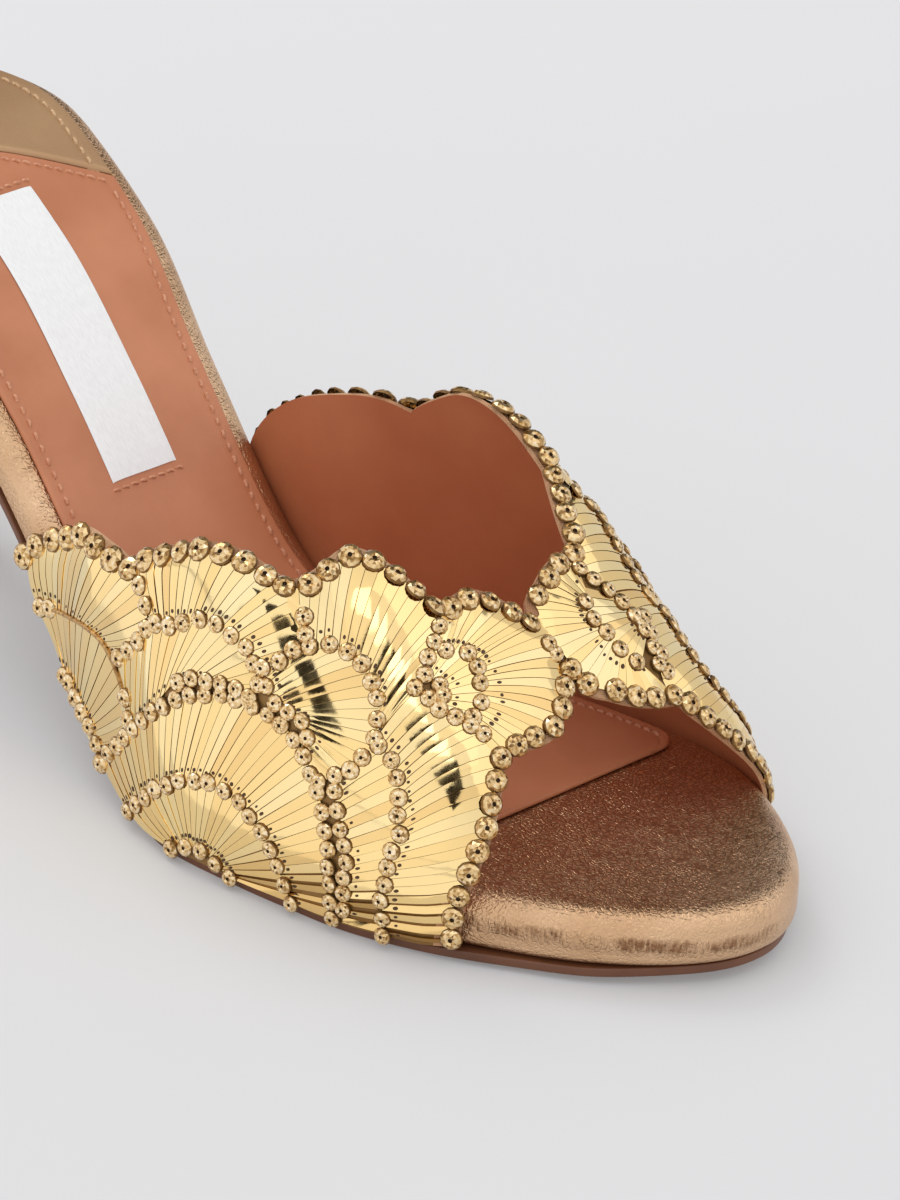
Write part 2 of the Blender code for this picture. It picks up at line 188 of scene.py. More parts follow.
def two_tone(name, dark, light, scale, detail=2.0, relief=0.0, ends=(0.3, 0.7), **values):
    """A material in two shades that a noise mixes. The noise may also be its relief, in mm."""
    made, tree, shader = new_material(name, **values)
    where = add(tree, "ShaderNodeTexCoord").outputs["Object"]
    noise = add(tree, "ShaderNodeTexNoise", {"Vector": where, "Scale": scale, "Detail": detail})
    stops = ((ends[0], dark), (ends[1], light))
    tone = add(tree, "ShaderNodeValToRGB", {"Fac": noise.outputs["Fac"]}, stops)
    wire(shader, Base_Color=tone.outputs["Color"])
    if relief:
        bump = add(tree, "ShaderNodeBump", {"Height": noise.outputs["Fac"], "Distance": relief * MM})
        wire(shader, Normal=bump.outputs["Normal"])
    return made


print("white in linear light:", colour("#FFFFFF"))

# %% [markdown]
# ## Leather
# All the leathers here are goatskin or calf, tanned and then finished in different ways. Under
# every finish is the grain: small raised pebbles with fine creases between them. A Voronoi pattern
# at the grain's real width gives the pebbles, and a finer noise gives the pores. The metallic ones
# carry a foil that is pressed on with heat, so they are part metal: bright where they turn to the
# light and deep brown where they face away.


# %% The leathers
def leather(name, dark, light, grain, depth, metallic, roughness):
    """A grained leather, mottled between two shades. grain: its width in mm, and depth in mm."""
    made, tree, shader = new_material(name, Metallic=metallic, Roughness=roughness)
    where = add(tree, "ShaderNodeTexCoord").outputs["Object"]
    bend = add(tree, "ShaderNodeTexNoise", {"Vector": where, "Scale": 260.0, "Detail": 2.0})
    bent = {"Fac": 0.0022, "Color1": where, "Color2": bend.outputs["Color"]}
    wandering = add(tree, "ShaderNodeMixRGB", bent, blend_type="ADD").outputs["Color"]
    cells = {"Vector": wandering, "Scale": 1000.0 / grain}
    pebbles = add(tree, "ShaderNodeTexVoronoi", cells, feature="DISTANCE_TO_EDGE")
    pores = add(tree, "ShaderNodeTexNoise", {"Vector": where, "Scale": 2600.0, "Detail": 3.0})
    plateau = add(tree, "ShaderNodeMapRange", {"Value": pebbles.outputs["Distance"], "From Max": 0.22})
    both = {0: plateau.outputs["Result"], 1: pores.outputs["Fac"]}
    height = add(tree, "ShaderNodeMath", both, operation="MULTIPLY").outputs[0]
    bump = add(tree, "ShaderNodeBump", {"Height": height, "Distance": depth * MM})
    mottle = add(tree, "ShaderNodeTexNoise", {"Vector": where, "Scale": 55.0, "Detail": 4.0})
    stops = ((0.32, dark), (0.68, light))
    shade = add(tree, "ShaderNodeValToRGB", {"Fac": mottle.outputs["Fac"]}, stops)
    wire(shader, Base_Color=shade.outputs["Color"], Normal=bump.outputs["Normal"])
    return made


champagne_foil = leather("champagne_foiled_goatskin", "#CCA27A", "#E4BE98", 0.8, 0.13, 0.95, 0.31)
sock_leather = leather("pink_tan_calf", "#BA744E", "#CA845E", 0.7, 0.012, 0.0, 0.5)
panel_leather = leather("gold_tan_foiled_calf", "#B58E68", "#C29C74", 0.8, 0.02, 0.45, 0.45)
lining_leather = leather("pink_tan_lining_calf", "#B66A46", "#C27850", 0.8, 0.015, 0.0, 0.55)
edge_leather = leather("cut_edge_of_tan_calf", "#A9744E", "#D9AE84", 0.45, 0.12, 0.15, 0.6)
backing_leather = leather("gold_backing_calf", "#7A5628", "#9A7440", 0.6, 0.03, 0.5, 0.45)
sole_leather = leather("waxed_brown_sole_leather", "#5E3722", "#764A30", 0.8, 0.03, 0.0, 0.42)
print("leathers:", len(bpy.data.materials))

# %% [markdown]
# ### Puckers round the toe
# Leather that is pulled round a tight curve gathers into fine creases square to the edge. They are
# noise that is drawn out in height, half a millimetre apart, kept to a band of the toe's outer rim
# and split into stretches. The colour there is painted: a darker brown streak along the band stands
# for a dark reflection across the rim, as painted shade. The creases of the grain are painted dark
# as shade too where the toe lies level, which darkens its top, but not round the rim.

# %% Add the puckers
tree = champagne_foil.node_tree
where = add(tree, "ShaderNodeTexCoord").outputs["Object"]
drawn = add(tree, "ShaderNodeMapping", {"Vector": where, "Scale": (1.0, 1.0, 0.32)}).outputs["Vector"]
puckers = add(tree, "ShaderNodeTexNoise", {"Vector": drawn, "Scale": 1900.0, "Detail": 2.0}).outputs["Fac"]
spot = add(tree, "ShaderNodeSeparateXYZ", {"Vector": where})
# axis, where the puckers have faded out, and where they are full (m)
PUCKER_BAND = (("Z", 0.0056, 0.0074), ("Z", 0.0102, 0.0080), ("Y", -0.020, -0.034), ("X", 0.022, 0.0))
for axis, none_at, all_at in PUCKER_BAND:
    limits = {"Value": spot.outputs[axis], "From Min": none_at, "From Max": all_at}
    band = add(tree, "ShaderNodeMapRange", limits, interpolation_type="SMOOTHSTEP").outputs["Result"]
    puckers = add(tree, "ShaderNodeMath", {0: puckers, 1: band}, operation="MULTIPLY").outputs[0]
shader = tree.nodes["Principled BSDF"]
grain_normal = shader.inputs["Normal"].links[0].from_socket
creased = add(tree, "ShaderNodeBump", {"Height": puckers, "Distance": 0.5 * MM, "Normal": grain_normal})
wire(shader, Normal=creased.outputs["Normal"])
print("sides of the pucker band:", len(PUCKER_BAND))

# %% Paint shade into the creases and a dark streak into the band
stretch = add(tree, "ShaderNodeTexNoise", {"Vector": where, "Scale": 130.0, "Detail": 1.0})
by_place = {"Value": stretch.outputs["Fac"], "From Min": 0.36, "From Max": 0.56, "To Min": 0.3}
patches = add(tree, "ShaderNodeMapRange", by_place).outputs["Result"]
painted_streak = add(tree, "ShaderNodeMath", {0: puckers, 1: patches}, operation="MULTIPLY").outputs[0]
by_depth = {"Value": painted_streak, "From Min": 0.2, "From Max": 0.56, "To Max": 0.8}
deep = add(tree, "ShaderNodeMapRange", by_depth).outputs["Result"]
facing = add(tree, "ShaderNodeSeparateXYZ", {"Vector": add(tree, "ShaderNodeNewGeometry").outputs["Normal"]})
by_slope = {"Value": facing.outputs["Z"], "From Min": 0.8, "From Max": 0.99, "To Max": 0.5}
level = add(tree, "ShaderNodeMapRange", by_slope).outputs["Result"]
pebbles = tree.nodes["Voronoi Texture"].outputs["Distance"]
by_edge = {"Value": pebbles, "From Min": 0.2, "From Max": 0.02}
creases = add(tree, "ShaderNodeMapRange", by_edge).outputs["Result"]
kept = add(tree, "ShaderNodeMath", {0: creases, 1: level}, operation="MULTIPLY").outputs[0]
# painted shade: the streak in the pucker band and the grain's creases on the level top are mixed towards dark
# brown
painted_crease_shade = add(tree, "ShaderNodeMath", {0: deep, 1: kept}, operation="MAXIMUM").outputs[0]
foil_tone = shader.inputs["Base Color"].links[0].from_socket
painted_shade_colours = {"Fac": painted_crease_shade, "Color1": foil_tone, "Color2": colour("#7A4C2C")}
painted_shade_mix = add(tree, "ShaderNodeMixRGB", painted_shade_colours)
wire(shader, Base_Color=painted_shade_mix.outputs["Color"])
print("nodes in the foiled leather:", len(tree.nodes))

# %% [markdown]
# ## Meshes from arrays
# Every soft piece is a grid of points with faces between them, so one function turns an array of
# points into a piece. A second one sets many copies of a small template down at once, each with
# its own place and direction, and joins them: stones, stitches and thread holes all come from it.


# %% Helpers for meshes
SHARP_EDGE = math.radians(50)  # a bend over this angle is shaded as an edge


def stand(name, data):
    """A new object in the scene."""
    made = bpy.data.objects.new(name, data)
    bpy.context.scene.collection.objects.link(made)
    return made


def flat_mesh(name, corners, material):
    """A single face with its corners on the XY plane."""
    mesh = bpy.data.meshes.new(name)
    mesh.from_pydata([(x, y, 0) for x, y in corners], [], [[0, 1, 2, 3]])
    mesh.materials.append(material)
    return mesh


def new_piece(name, points, faces, materials, slots=None, smooth=True):
    """A smooth piece from points and faces, which rides on the shoe's one body."""
    mesh = bpy.data.meshes.new(name)
    mesh.from_pydata(np.asarray(points, float).reshape(-1, 3).tolist(), [], faces)
    for material in materials:
        mesh.materials.append(material)
    if slots is not None:
        mesh.polygons.foreach_set("material_index", np.asarray(slots, np.int32))
    mesh.polygons.foreach_set("use_smooth", np.full(len(mesh.polygons), smooth))
    mesh.update()
    piece = stand(name, mesh)
    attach(piece, "root")
    print(name, len(mesh.vertices), "points,", len(mesh.polygons), "faces")
    return piece


def grid_faces(rows, columns, first=0, wrap=False, flip=False):
    """Quads over a grid of points numbered row by row."""
    across = columns if wrap else columns - 1
    r = np.arange(rows - 1)[:, None]
    c = np.arange(across)[None, :]
    after = (c + 1) % columns
    corners = [r * columns + c, r * columns + after, (r + 1) * columns + after, (r + 1) * columns + c]
    quads = np.stack(np.broadcast_arrays(*corners), -1).reshape(-1, 4) + first
    return (quads[:, ::-1] if flip else quads).tolist()


def rim_faces(rows, columns):
    """Quads round the border of a grid, to a second grid of points that follows it."""
    rim = list(range(columns))
    rim += [r * columns + columns - 1 for r in range(1, rows)]
    rim += [(rows - 1) * columns + c for c in range(columns - 2, -1, -1)]
    rim += [r * columns for r in range(rows - 2, 0, -1)]
    second = rows * columns
    return [[a, b, b + second, a + second] for a, b in zip(rim, rim[1:] + rim[:1])]


def merge_close(piece, distance=0.01 * MM):
    """Joins the points that fall together where a grid closes at its ends."""
    mesh = bmesh.new()
    mesh.from_mesh(piece.data)
    bmesh.ops.remove_doubles(mesh, verts=mesh.verts, dist=distance)
    bmesh.ops.recalc_face_normals(mesh, faces=mesh.faces)
    mesh.to_mesh(piece.data)
    mesh.free()


def unit(vectors):
    return vectors / np.maximum(np.linalg.norm(vectors, axis=-1, keepdims=True), 1e-12)


def set_down(name, template, places, normals, along, sizes, material, smooth=True):
    """One joined mesh of many copies of a template, which stands on its XY plane with X along."""
    points, faces = template
    points = np.asarray(points, float)
    z = unit(normals)
    x = unit(along - (along * z).sum(-1, keepdims=True) * z)
    y = np.cross(z, x)
    axes = np.stack([x, y, z], 1)
    local = points[None] * sizes[:, None, :]
    world = np.einsum("npi,nij->npj", local, axes) + places[:, None, :]
    joined = []
    for k in range(len(places)):
        joined += [[i + k * len(points) for i in face] for face in faces]
    return new_piece(name, world, joined, [material], smooth=smooth)


print("faces in a grid of 3 by 3 points:", len(grid_faces(3, 3)))

# %% [markdown]
# ## The outline's two sides
# The edge of the footbed is followed from the heel's back to the toe on each side. A line that runs
# inside it, such as a row of stitches, is the same line moved in square to the edge.


# %% Follow the outline
def side_line(side, inset, start=0.0, end=LENGTH, points=170):
    """(s, t) along one side, -1 outer and 1 inner, moved in by inset."""
    first = math.acos(1 - 2 * start / LENGTH)
    final = math.acos(max(1 - 2 * end / LENGTH, -1))
    turn = np.linspace(first, final, points + 1)
    s = LENGTH * (1 - np.cos(turn)) / 2
    tiny = 1e-4
    near = [LENGTH * (1 - np.cos(np.clip(turn + d, 0, math.pi))) / 2 for d in (-tiny, tiny)]
    edge = [middle(x) + side * half_width(x) for x in near]
    run = np.stack([near[1] - near[0], edge[1] - edge[0]], -1)
    run[s < tiny * LENGTH] = (0, side)
    run[s > LENGTH * (1 - tiny)] = (0, -side)
    run = unit(run)
    inward = np.stack([run[:, 1], -run[:, 0]], -1) * side
    depth = np.broadcast_to(inset, s.shape)
    return s + inward[:, 0] * depth, middle(s) + side * half_width(s) + inward[:, 1] * depth


def quarter_rounds(thickness, under, over, steps):
    """(inset, level) from the bottom up round an edge."""
    a = np.linspace(0, math.pi / 2, steps)
    low = np.stack([under * (1 - np.sin(a)), under * (1 - np.cos(a))], -1)
    high = np.stack([over * (1 - np.cos(a)), thickness - over * (1 - np.sin(a))], -1)
    return np.concatenate([low, high])


def layer(name, profile, floor, material, start=0.0, outset=None, rows=170, across=14):
    """A closed layer of the sole, from its edge's profile, ruled across on top and underneath."""
    sides = {}
    for side in (-1, 1):
        lines = []
        for inset, level in profile:
            s, t = side_line(side, inset, start, points=rows)
            if outset is not None:
                s, t = side_line(side, inset - outset(s), start, points=rows)
            lines.append(place(s, t, rise(s) + floor + level))
        sides[side] = np.stack(lines, 1)
    f = np.linspace(0, 1, across + 2)[1:-1, None]

    def ruled(a, b):
        flat = a[:, None, :] * (1 - f) + b[:, None, :] * f
        return place(MIDDLE * LENGTH - flat[..., 1], flat[..., 0], flat[..., 2])

    outer = sides[-1]
    inner = sides[1][:, ::-1]
    grid = np.concatenate(
        [outer, ruled(outer[:, -1], inner[:, 0]), inner, ruled(inner[:, -1], outer[:, 0])], 1
    )
    count = grid.shape[1]
    faces = grid_faces(len(grid), count, wrap=True)
    if start > 0:
        faces.append(list(range(count)))
    piece = new_piece(name, grid, faces, [material])
    merge_close(piece)
    piece.data.set_sharp_from_angle(angle=SHARP_EDGE)
    return piece


print("level length of a side: %.0f mm" % (1000 * side_line(1, 0.0)[0][-1]))

# %% [markdown]
# ## Footbed
# The footbed is a stiff board with a thin pad, and its leather is pulled round the edge and glued
# underneath, so the rim is a soft bullnose with no seam. It is lofted from a rounded profile that
# travels along both sides. The leather there is champagne foil over goatskin.

# %% Build the footbed
BED_UNDER_ROUND = 1.6 * MM
BED_TOP_ROUND = 4.0 * MM
bed_profile = quarter_rounds(FOOTBED, BED_UNDER_ROUND, BED_TOP_ROUND, 9)
footbed = layer("footbed_wrapped", bed_profile, OUTSOLE + GAP, champagne_foil, across=30)
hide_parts("footbed")

# %% [markdown]
# ## Outsole
# The outsole is a thin leather sole, cut a little proud of the footbed under the vamp so that it
# hides the vamp's lasted edge. Its edge is stained brown and waxed, and the rest is plain.

# %% Build the outsole
HEEL_BREAST = 0.215 * LENGTH


def soft_step(x):
    x = np.clip(x, 0, 1)
    return x * x * (3 - 2 * x)


def outsole_flare(s):
    share = s / LENGTH
    under_vamp = soft_step((share - 0.52) / 0.08) * soft_step((0.90 - share) / 0.08)
    return (0.2 + 1.2 * under_vamp - 1.3 * soft_step((share - 0.92) / 0.06)) * MM


sole_profile = quarter_rounds(OUTSOLE, 0.4 * MM, 0.3 * MM, 5)
outsole = layer(
    "outsole_leather", sole_profile, 0.0, sole_leather, start=HEEL_BREAST + GAP, outset=outsole_flare
)
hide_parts("outsole")

# %% [markdown]
# ## Heel and its tip
# The heel is moulded, then covered in the same champagne leather as the footbed, so it has no seam
# but its join with the sole. Its outline is the seat's at the top and the small tip's at the
# bottom, and each ring between them is a blend of the two that narrows early.

# %% Build the heel
TIP_HEIGHT = 5 * MM
TIP_BACK = 13 * MM
TIP_LENGTH = 13 * MM
TIP_HALF = 6.2 * MM
HEEL_WAIST = 2.5
BREAST_HOLLOW = 3 * MM


def tip_outline(behind, front):
    """(s, t) round the tip: a half circle behind, straight sides, a straight front."""
    centre = TIP_BACK + TIP_HALF
    side = TIP_BACK + TIP_LENGTH - centre
    total = math.pi * TIP_HALF + 2 * side
    d = np.linspace(0, total, behind + 1)
    turn = np.clip((d - side) / TIP_HALF, 0, math.pi)
    s = centre - TIP_HALF * np.sin(turn) + np.maximum(side - d, 0) + np.maximum(d - total + side, 0)
    t = -TIP_HALF * np.cos(turn)
    f = np.arange(1, front) / front
    return np.append(s, np.full(front - 1, centre + side)), np.append(t, TIP_HALF * (1 - 2 * f))


def seat_outline(behind, front):
    """(s, t) round the heel's top, matched point for point to the tip's outline."""
    inset = 0.6 * MM
    so, to = side_line(-1, inset, 0.0, HEEL_BREAST, behind // 2)
    si, ti = side_line(1, inset, 0.0, HEEL_BREAST, behind // 2)
    f = np.arange(1, front) / front
    s = np.concatenate([so[::-1], si[1:], HEEL_BREAST - BREAST_HOLLOW * np.sin(math.pi * f)])
    t = np.concatenate([to[::-1], ti[1:], ti[-1] + (to[-1] - ti[-1]) * f])
    return s, t


around, breast, rings = 88, 20, 44
s_seat, t_seat = seat_outline(around, breast)
s_tip, t_tip = tip_outline(around, breast)
down = np.linspace(0, 1, rings + 1)[:, None]
narrow = 1 - (1 - down) ** HEEL_WAIST
s_heel = s_seat + (s_tip - s_seat) * narrow
t_heel = t_seat + (t_tip - t_seat) * narrow
seat_top = rise(s_seat) + OUTSOLE
heel_grid = place(s_heel, t_heel, seat_top + (TIP_HEIGHT + GAP - seat_top) * down)
count = heel_grid.shape[1]
heel_faces = grid_faces(rings + 1, count, wrap=True)
heel_faces += [list(range(count)), list(range(rings * count, (rings + 1) * count))]
heel = new_piece("heel_covered", heel_grid, heel_faces, [champagne_foil])
merge_close(heel)
heel.data.set_sharp_from_angle(angle=SHARP_EDGE)
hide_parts("heel")

# %% [markdown]
# ### The wear pad
# The pad under the heel is hard moulded rubber. Its solid in the frame already has the right
# shape, so it stays and only gets a rubber with a fine mould texture.

# %% Rubber for the heel tip
RUBBER = {"Roughness": 0.62, "IOR": 1.52}
tip_rubber = two_tone("moulded_brown_rubber", "#2E1B12", "#3E261A", 1500.0, detail=3.0, relief=0.04, **RUBBER)
tip_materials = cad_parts["heel_tip"].data.materials
tip_materials.clear()
tip_materials.append(tip_rubber)
print("heel rings:", rings)

# %% [markdown]
# ## Sock and heel panel
# The sock is a thin calf leather glued on the footbed. A second leather covers the seat behind it,
# and they meet in a blunt V. Both are single sheets that follow the last, and their cut edges round
# over in the last half millimetre. A sheet is sewn a little inside its edge, so a soft groove runs
# there, where the thread pulls the leather down.

# %% Sock sizes and the two sheets
SOCK = 0.9 * MM
SOCK_INSET = 4.2 * MM
SOCK_FRONT = 0.780 * LENGTH
SOCK_CORNER = 4.5 * MM
SEAM_APEX = 25.4 * MM
SEAM_SLANT = 0.59
SEAM_BLUNT = 5 * MM
SEAM_SQUARE = 0.86  # turns a distance along the shoe into one square to the slanting seam
STITCH_INSET = 2.2 * MM
SEAM_STITCH = 1.3 * MM  # the row in front of the seam
PANEL_STITCH = 3.0 * MM  # the row round the heel panel
EDGE_ROUND = 0.7 * MM
GROOVE_HALF = 0.5 * MM


def seam_station(t):
    return SEAM_APEX + SEAM_SLANT * (np.hypot(t, SEAM_BLUNT) - SEAM_BLUNT)


def seam_at(across, behind):
    s = np.full_like(across, SEAM_APEX)
    for _ in range(12):
        s = seam_station(across * (half_width(s) - SOCK_INSET)) - behind
    return s


def panel_reach(s):
    """Half of the heel panel's width, with its own round back."""
    shrink = np.sqrt(np.clip(1 - (1 - (s - SOCK_INSET) / (HEEL_ROUND - SOCK_INSET)) ** 2, 0, 1))
    round_back = shrink * (last_half(s / LENGTH) - SOCK_INSET)
    return np.where(s > HEEL_ROUND, half_width(s) - SOCK_INSET, round_back)


def sheet_level(to_edge, to_thread, groove):
    """A sheet's thickness: rounded at its cut edge, and pressed in where the thread pulls it down."""
    edge = np.clip(to_edge / EDGE_ROUND, 0, 1)
    return SOCK * np.sqrt(1 - (1 - edge) ** 2) - groove * np.exp(-((to_thread / GROOVE_HALF) ** 2))


def bed_level(s):
    return rise(s) + BED_TOP + GAP


print("the seam runs forward to %.0f mm" % (1000 * seam_station(half_width(0.17 * LENGTH))))


# %% Helpers for sheets
def closed_sheet(name, s, t, level, material):
    """A sheet on the footbed, with its top at a level over it and an edge down to its underside."""
    rows, columns = s.shape
    points = np.concatenate([place(s, t, bed_level(s) + h).reshape(-1, 3) for h in (level, 0.0)])
    faces = grid_faces(rows, columns)
    faces += grid_faces(rows, columns, first=rows * columns, flip=True)
    piece = new_piece(name, points, faces + rim_faces(rows, columns), [material])
    merge_close(piece, 0.005 * MM)
    return piece


def edge_spaced(rows, columns):
    """Rows from 0 to 1 and columns from -1 to 1, close together at the ends, where edges round over."""
    runs = []
    for count in (rows, columns):
        even = np.linspace(0, 1, count)
        runs.append(0.25 * even + 0.75 * (np.sin((even - 0.5) * math.pi) / 2 + 0.5))
    return np.broadcast_to(runs[0][:, None], (rows, columns)), np.tile(2 * runs[1] - 1, (rows, 1))


lengthwise, crosswise = edge_spaced(230, 130)
print("finest step across the sock: %.2f mm" % (1000 * 30 * MM * (crosswise[0, 1] - crosswise[0, 0])))

# %% Measure the sock out
seam_line = seam_at(crosswise, 0.0)
sock_s = seam_line + (SOCK_FRONT - seam_line) * lengthwise
into_corner = np.clip(sock_s - SOCK_FRONT + SOCK_CORNER, 0, SOCK_CORNER)
corner = SOCK_CORNER - np.sqrt(SOCK_CORNER**2 - into_corner**2)
sock_reach = np.maximum(half_width(sock_s) - SOCK_INSET - corner, 0)
sock_t = middle(sock_s) + crosswise * sock_reach
to_side = sock_reach * (1 - abs(crosswise))
to_seam = (sock_s - seam_line) * SEAM_SQUARE
to_edge = np.minimum(np.minimum(to_side, SOCK_FRONT - sock_s), to_seam)
to_thread = np.minimum(to_side - STITCH_INSET, to_seam - SEAM_STITCH)
print("sock: %.0f mm long" % (1000 * (SOCK_FRONT - SEAM_APEX)))

# %% [markdown]
# ### Small waves in the sock
# Leather that is glued over a curved footbed is never quite flat. A few long, very shallow waves,
# placed where the sock bends most, catch the light. They are a tenth of a millimetre deep.

# %% Lay the sock
# station, offset, length, width and height (mm), and turn (degrees)
SOCK_WAVES = (
    (58, -14, 20, 2.6, -0.10, 8),
    (74, 13, 24, 3.0, 0.09, -6),
    (92, 4, 18, 3.4, -0.12, 20),
    (100, -10, 16, 2.8, 0.10, -12),
    (118, 9, 15, 3.0, -0.10, 70),
    (136, -4, 16, 3.2, 0.08, 82),
)


def sock_waves(s, t):
    """The sum of the soft ridges and troughs, each long one way and narrow the other."""
    total = 0
    for at_s, at_t, length, width, height, turn in SOCK_WAVES:
        c, d = math.cos(math.radians(turn)), math.sin(math.radians(turn))
        x = (s * 1000 - at_s) * c + (t * 1000 - at_t) * d
        y = -(s * 1000 - at_s) * d + (t * 1000 - at_t) * c
        total = total + height * MM * np.exp(-((x / length) ** 2) - (y / width) ** 2)
    return total


sock_level = sheet_level(to_edge, to_thread, 0.11 * MM)
sock_level = sock_level + sock_waves(sock_s, sock_t) * np.clip(to_edge / (3 * MM), 0, 1)
sock = closed_sheet("sock_calf", sock_s, sock_t, sock_level, sock_leather)
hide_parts("sock_lining")

# %% Lay the heel panel
panel_along, panel_across = edge_spaced(90, 110)
panel_seam = seam_at(panel_across, GAP)
panel_s = panel_seam + (SOCK_INSET - panel_seam) * panel_along
panel_half = panel_reach(panel_s)
panel_t = middle(panel_s) + panel_across * panel_half
panel_side = panel_half * (1 - abs(panel_across))
panel_edge = np.minimum(panel_side, (panel_seam - panel_s) * SEAM_SQUARE)
panel_level = sheet_level(panel_edge, panel_side - PANEL_STITCH, 0.1 * MM)
panel = closed_sheet("heel_panel_calf", panel_s, panel_t, panel_level, panel_leather)
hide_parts("heel_sock")

# %% [markdown]
# ## Vamp: the shape
# The vamp is one sheet over the forefoot. A station and an angle across it, from 0 at the outer
# foot over the top to 180 at the inner foot, give a point on its inside. Its two edges are
# scalloped: each table row ends a scallop at an angle and a share of the length, and says how far
# it swells and where it is fullest.

# %% The vamp's surface and edges
FOOT_GAP = 0.45 * MM
WALL = 2.0 * MM
# share, height, ridge to the inner side, outer belly, inner belly (mm)
VAMP = (
    (0.30, 60.0, 3.0, 0.6, 0.0),
    (0.45, 62.0, 3.0, -0.5, -0.6),
    (0.58, 63.0, 2.6, -0.4, -1.2),
    (0.70, 45.5, 2.0, 0.8, -2.2),
    (0.78, 29.0, 1.5, 0.5, -3.2),
    (0.88, 9.0, 1.0, 0.0, -2.4),
)
# angle across, share, swell (mm), where it is fullest
THROAT_EDGE = (
    (0, 0.350, 0.0, 0.50),
    (23, 0.510, 4.4, 0.76),
    (46, 0.660, 4.4, 0.50),
    (73, 0.734, 6.4, 0.72),
    (89, 0.764, 3.2, 0.65),
    (101, 0.736, 3.0, 0.25),
    (115, 0.680, 2.2, 0.35),
    (141, 0.540, 4.4, 0.42),
    (180, 0.346, 5.6, 0.20),
)
TOE_EDGE = (
    (0, 0.847, 0.0, 0.50),
    (61, 0.826, 3.1, 0.60),
    (89, 0.800, 4.2, 0.68),
    (108, 0.836, 4.6, 0.22),
    (180, 0.862, 3.3, 0.35),
)
SCALLOP_ROUND = 0.8  # below 1, a scallop is fuller than a sine wave
SHOULDER = 0.66  # below 1, the walls stand up before they turn in
CROWN = 0.70  # below 1, the top is flat
vamp_height, vamp_ridge, vamp_outer_belly, vamp_inner_belly = (reader(VAMP, k, MM) for k in (1, 2, 3, 4))


def vamp_inside(s, across):
    """The vamp's inside at stations and angles."""
    share = s / LENGTH
    angle = np.radians(across)
    side = -np.cos(angle)
    up = np.maximum(np.sin(angle), 0)
    belly = np.where(across < 90, vamp_outer_belly(share), vamp_inner_belly(share))
    reach = half_width(s) + FOOT_GAP
    t = middle(s) + np.sign(side) * abs(side) ** SHOULDER * reach
    t = t + vamp_ridge(share) * up**2 + np.sign(side) * belly * np.sin(2 * angle) ** 2
    foot = rise(s) + OUTSOLE + 1.5 * GAP
    crown = rise(s) + BED_TOP + vamp_height(share)
    return place(s, t, foot + (crown - foot) * up**CROWN)


def edge_of_vamp(table, across):
    """The station of one scalloped edge at angles across."""
    toward = 1 if table is TOE_EDGE else -1
    across = np.asarray(across, float)
    ends = np.array([row[0] for row in table], float)
    i = np.clip(np.searchsorted(ends, across, side="left"), 1, len(ends) - 1)
    share = np.array([row[1] for row in table])
    swell = np.array([row[2] for row in table])[i]
    power = math.log(0.5) / np.log(np.array([row[3] for row in table])[i])
    f = np.clip((across - ends[i - 1]) / (ends[i] - ends[i - 1]), 0, 1)
    straight = (share[i - 1] + (share[i] - share[i - 1]) * f) * LENGTH
    bulge = np.clip(np.sin(math.pi * f**power), 0, 1) ** SCALLOP_ROUND
    return straight + toward * swell * MM * bulge


def outward(grid):
    """Unit normals of a grid of points, pointing away from the foot."""
    across = np.cross(np.gradient(grid, axis=0), np.gradient(grid, axis=1))
    normals = unit(across)
    inside = np.array([0.0, 0.06 * LENGTH, 20 * MM])
    facing = ((grid - inside) * normals).sum(-1).mean()
    return normals if facing > 0 else -normals


print("scallops:", len(THROAT_EDGE) + len(TOE_EDGE) - 2)

# %% [markdown]
# ## Vamp: the sheet
# The real vamp has a pink-tan lining inside, a gold backing leather outside, and a raw cut edge
# where the two are glued. The sheet is a grid of rows across and columns along, with its outside
# two millimetres further out, pared thin at both scalloped edges. Its inside, outside and edge take
# a leather each. The lining has some long soft folds near its foot, where it turns under the footbed.

# %% Folds and thickness of the vamp
# station and angle of a fold's middle, its length in mm, its width in degrees, its depth in mm
LINING_FOLDS = (
    (104, 155, 12, 5.0, 0.25),
    (118, 150, 10, 6.0, -0.25),
    (131, 148, 12, 5.0, 0.20),
    (122, 128, 9, 7.0, 0.18),
    (150, 140, 10, 7.0, -0.20),
    (120, 20, 12, 6.0, 0.22),
    (140, 26, 12, 6.0, -0.20),
)


def lining_folds(s, across):
    total = np.zeros(np.broadcast(s, across).shape)
    for at_s, at_a, length, width, depth in LINING_FOLDS:
        x = (s * 1000 - at_s + 0.35 * (across - at_a)) / length
        total += depth * MM * np.exp(-(x**2) - ((across - at_a) / width / 2) ** 2)
    return total


EDGE_WALL = 0.7 * MM
PARED = 6 * MM  # how far in from an edge the leathers are pared


def wall_depth(s, across):
    """How thick the vamp is."""
    to_throat = s - edge_of_vamp(THROAT_EDGE, across)
    to_toe = edge_of_vamp(TOE_EDGE, across) - s
    return EDGE_WALL + (WALL - EDGE_WALL) * soft_step(np.minimum(to_throat, to_toe) / PARED)


print("folds in the lining:", len(LINING_FOLDS))

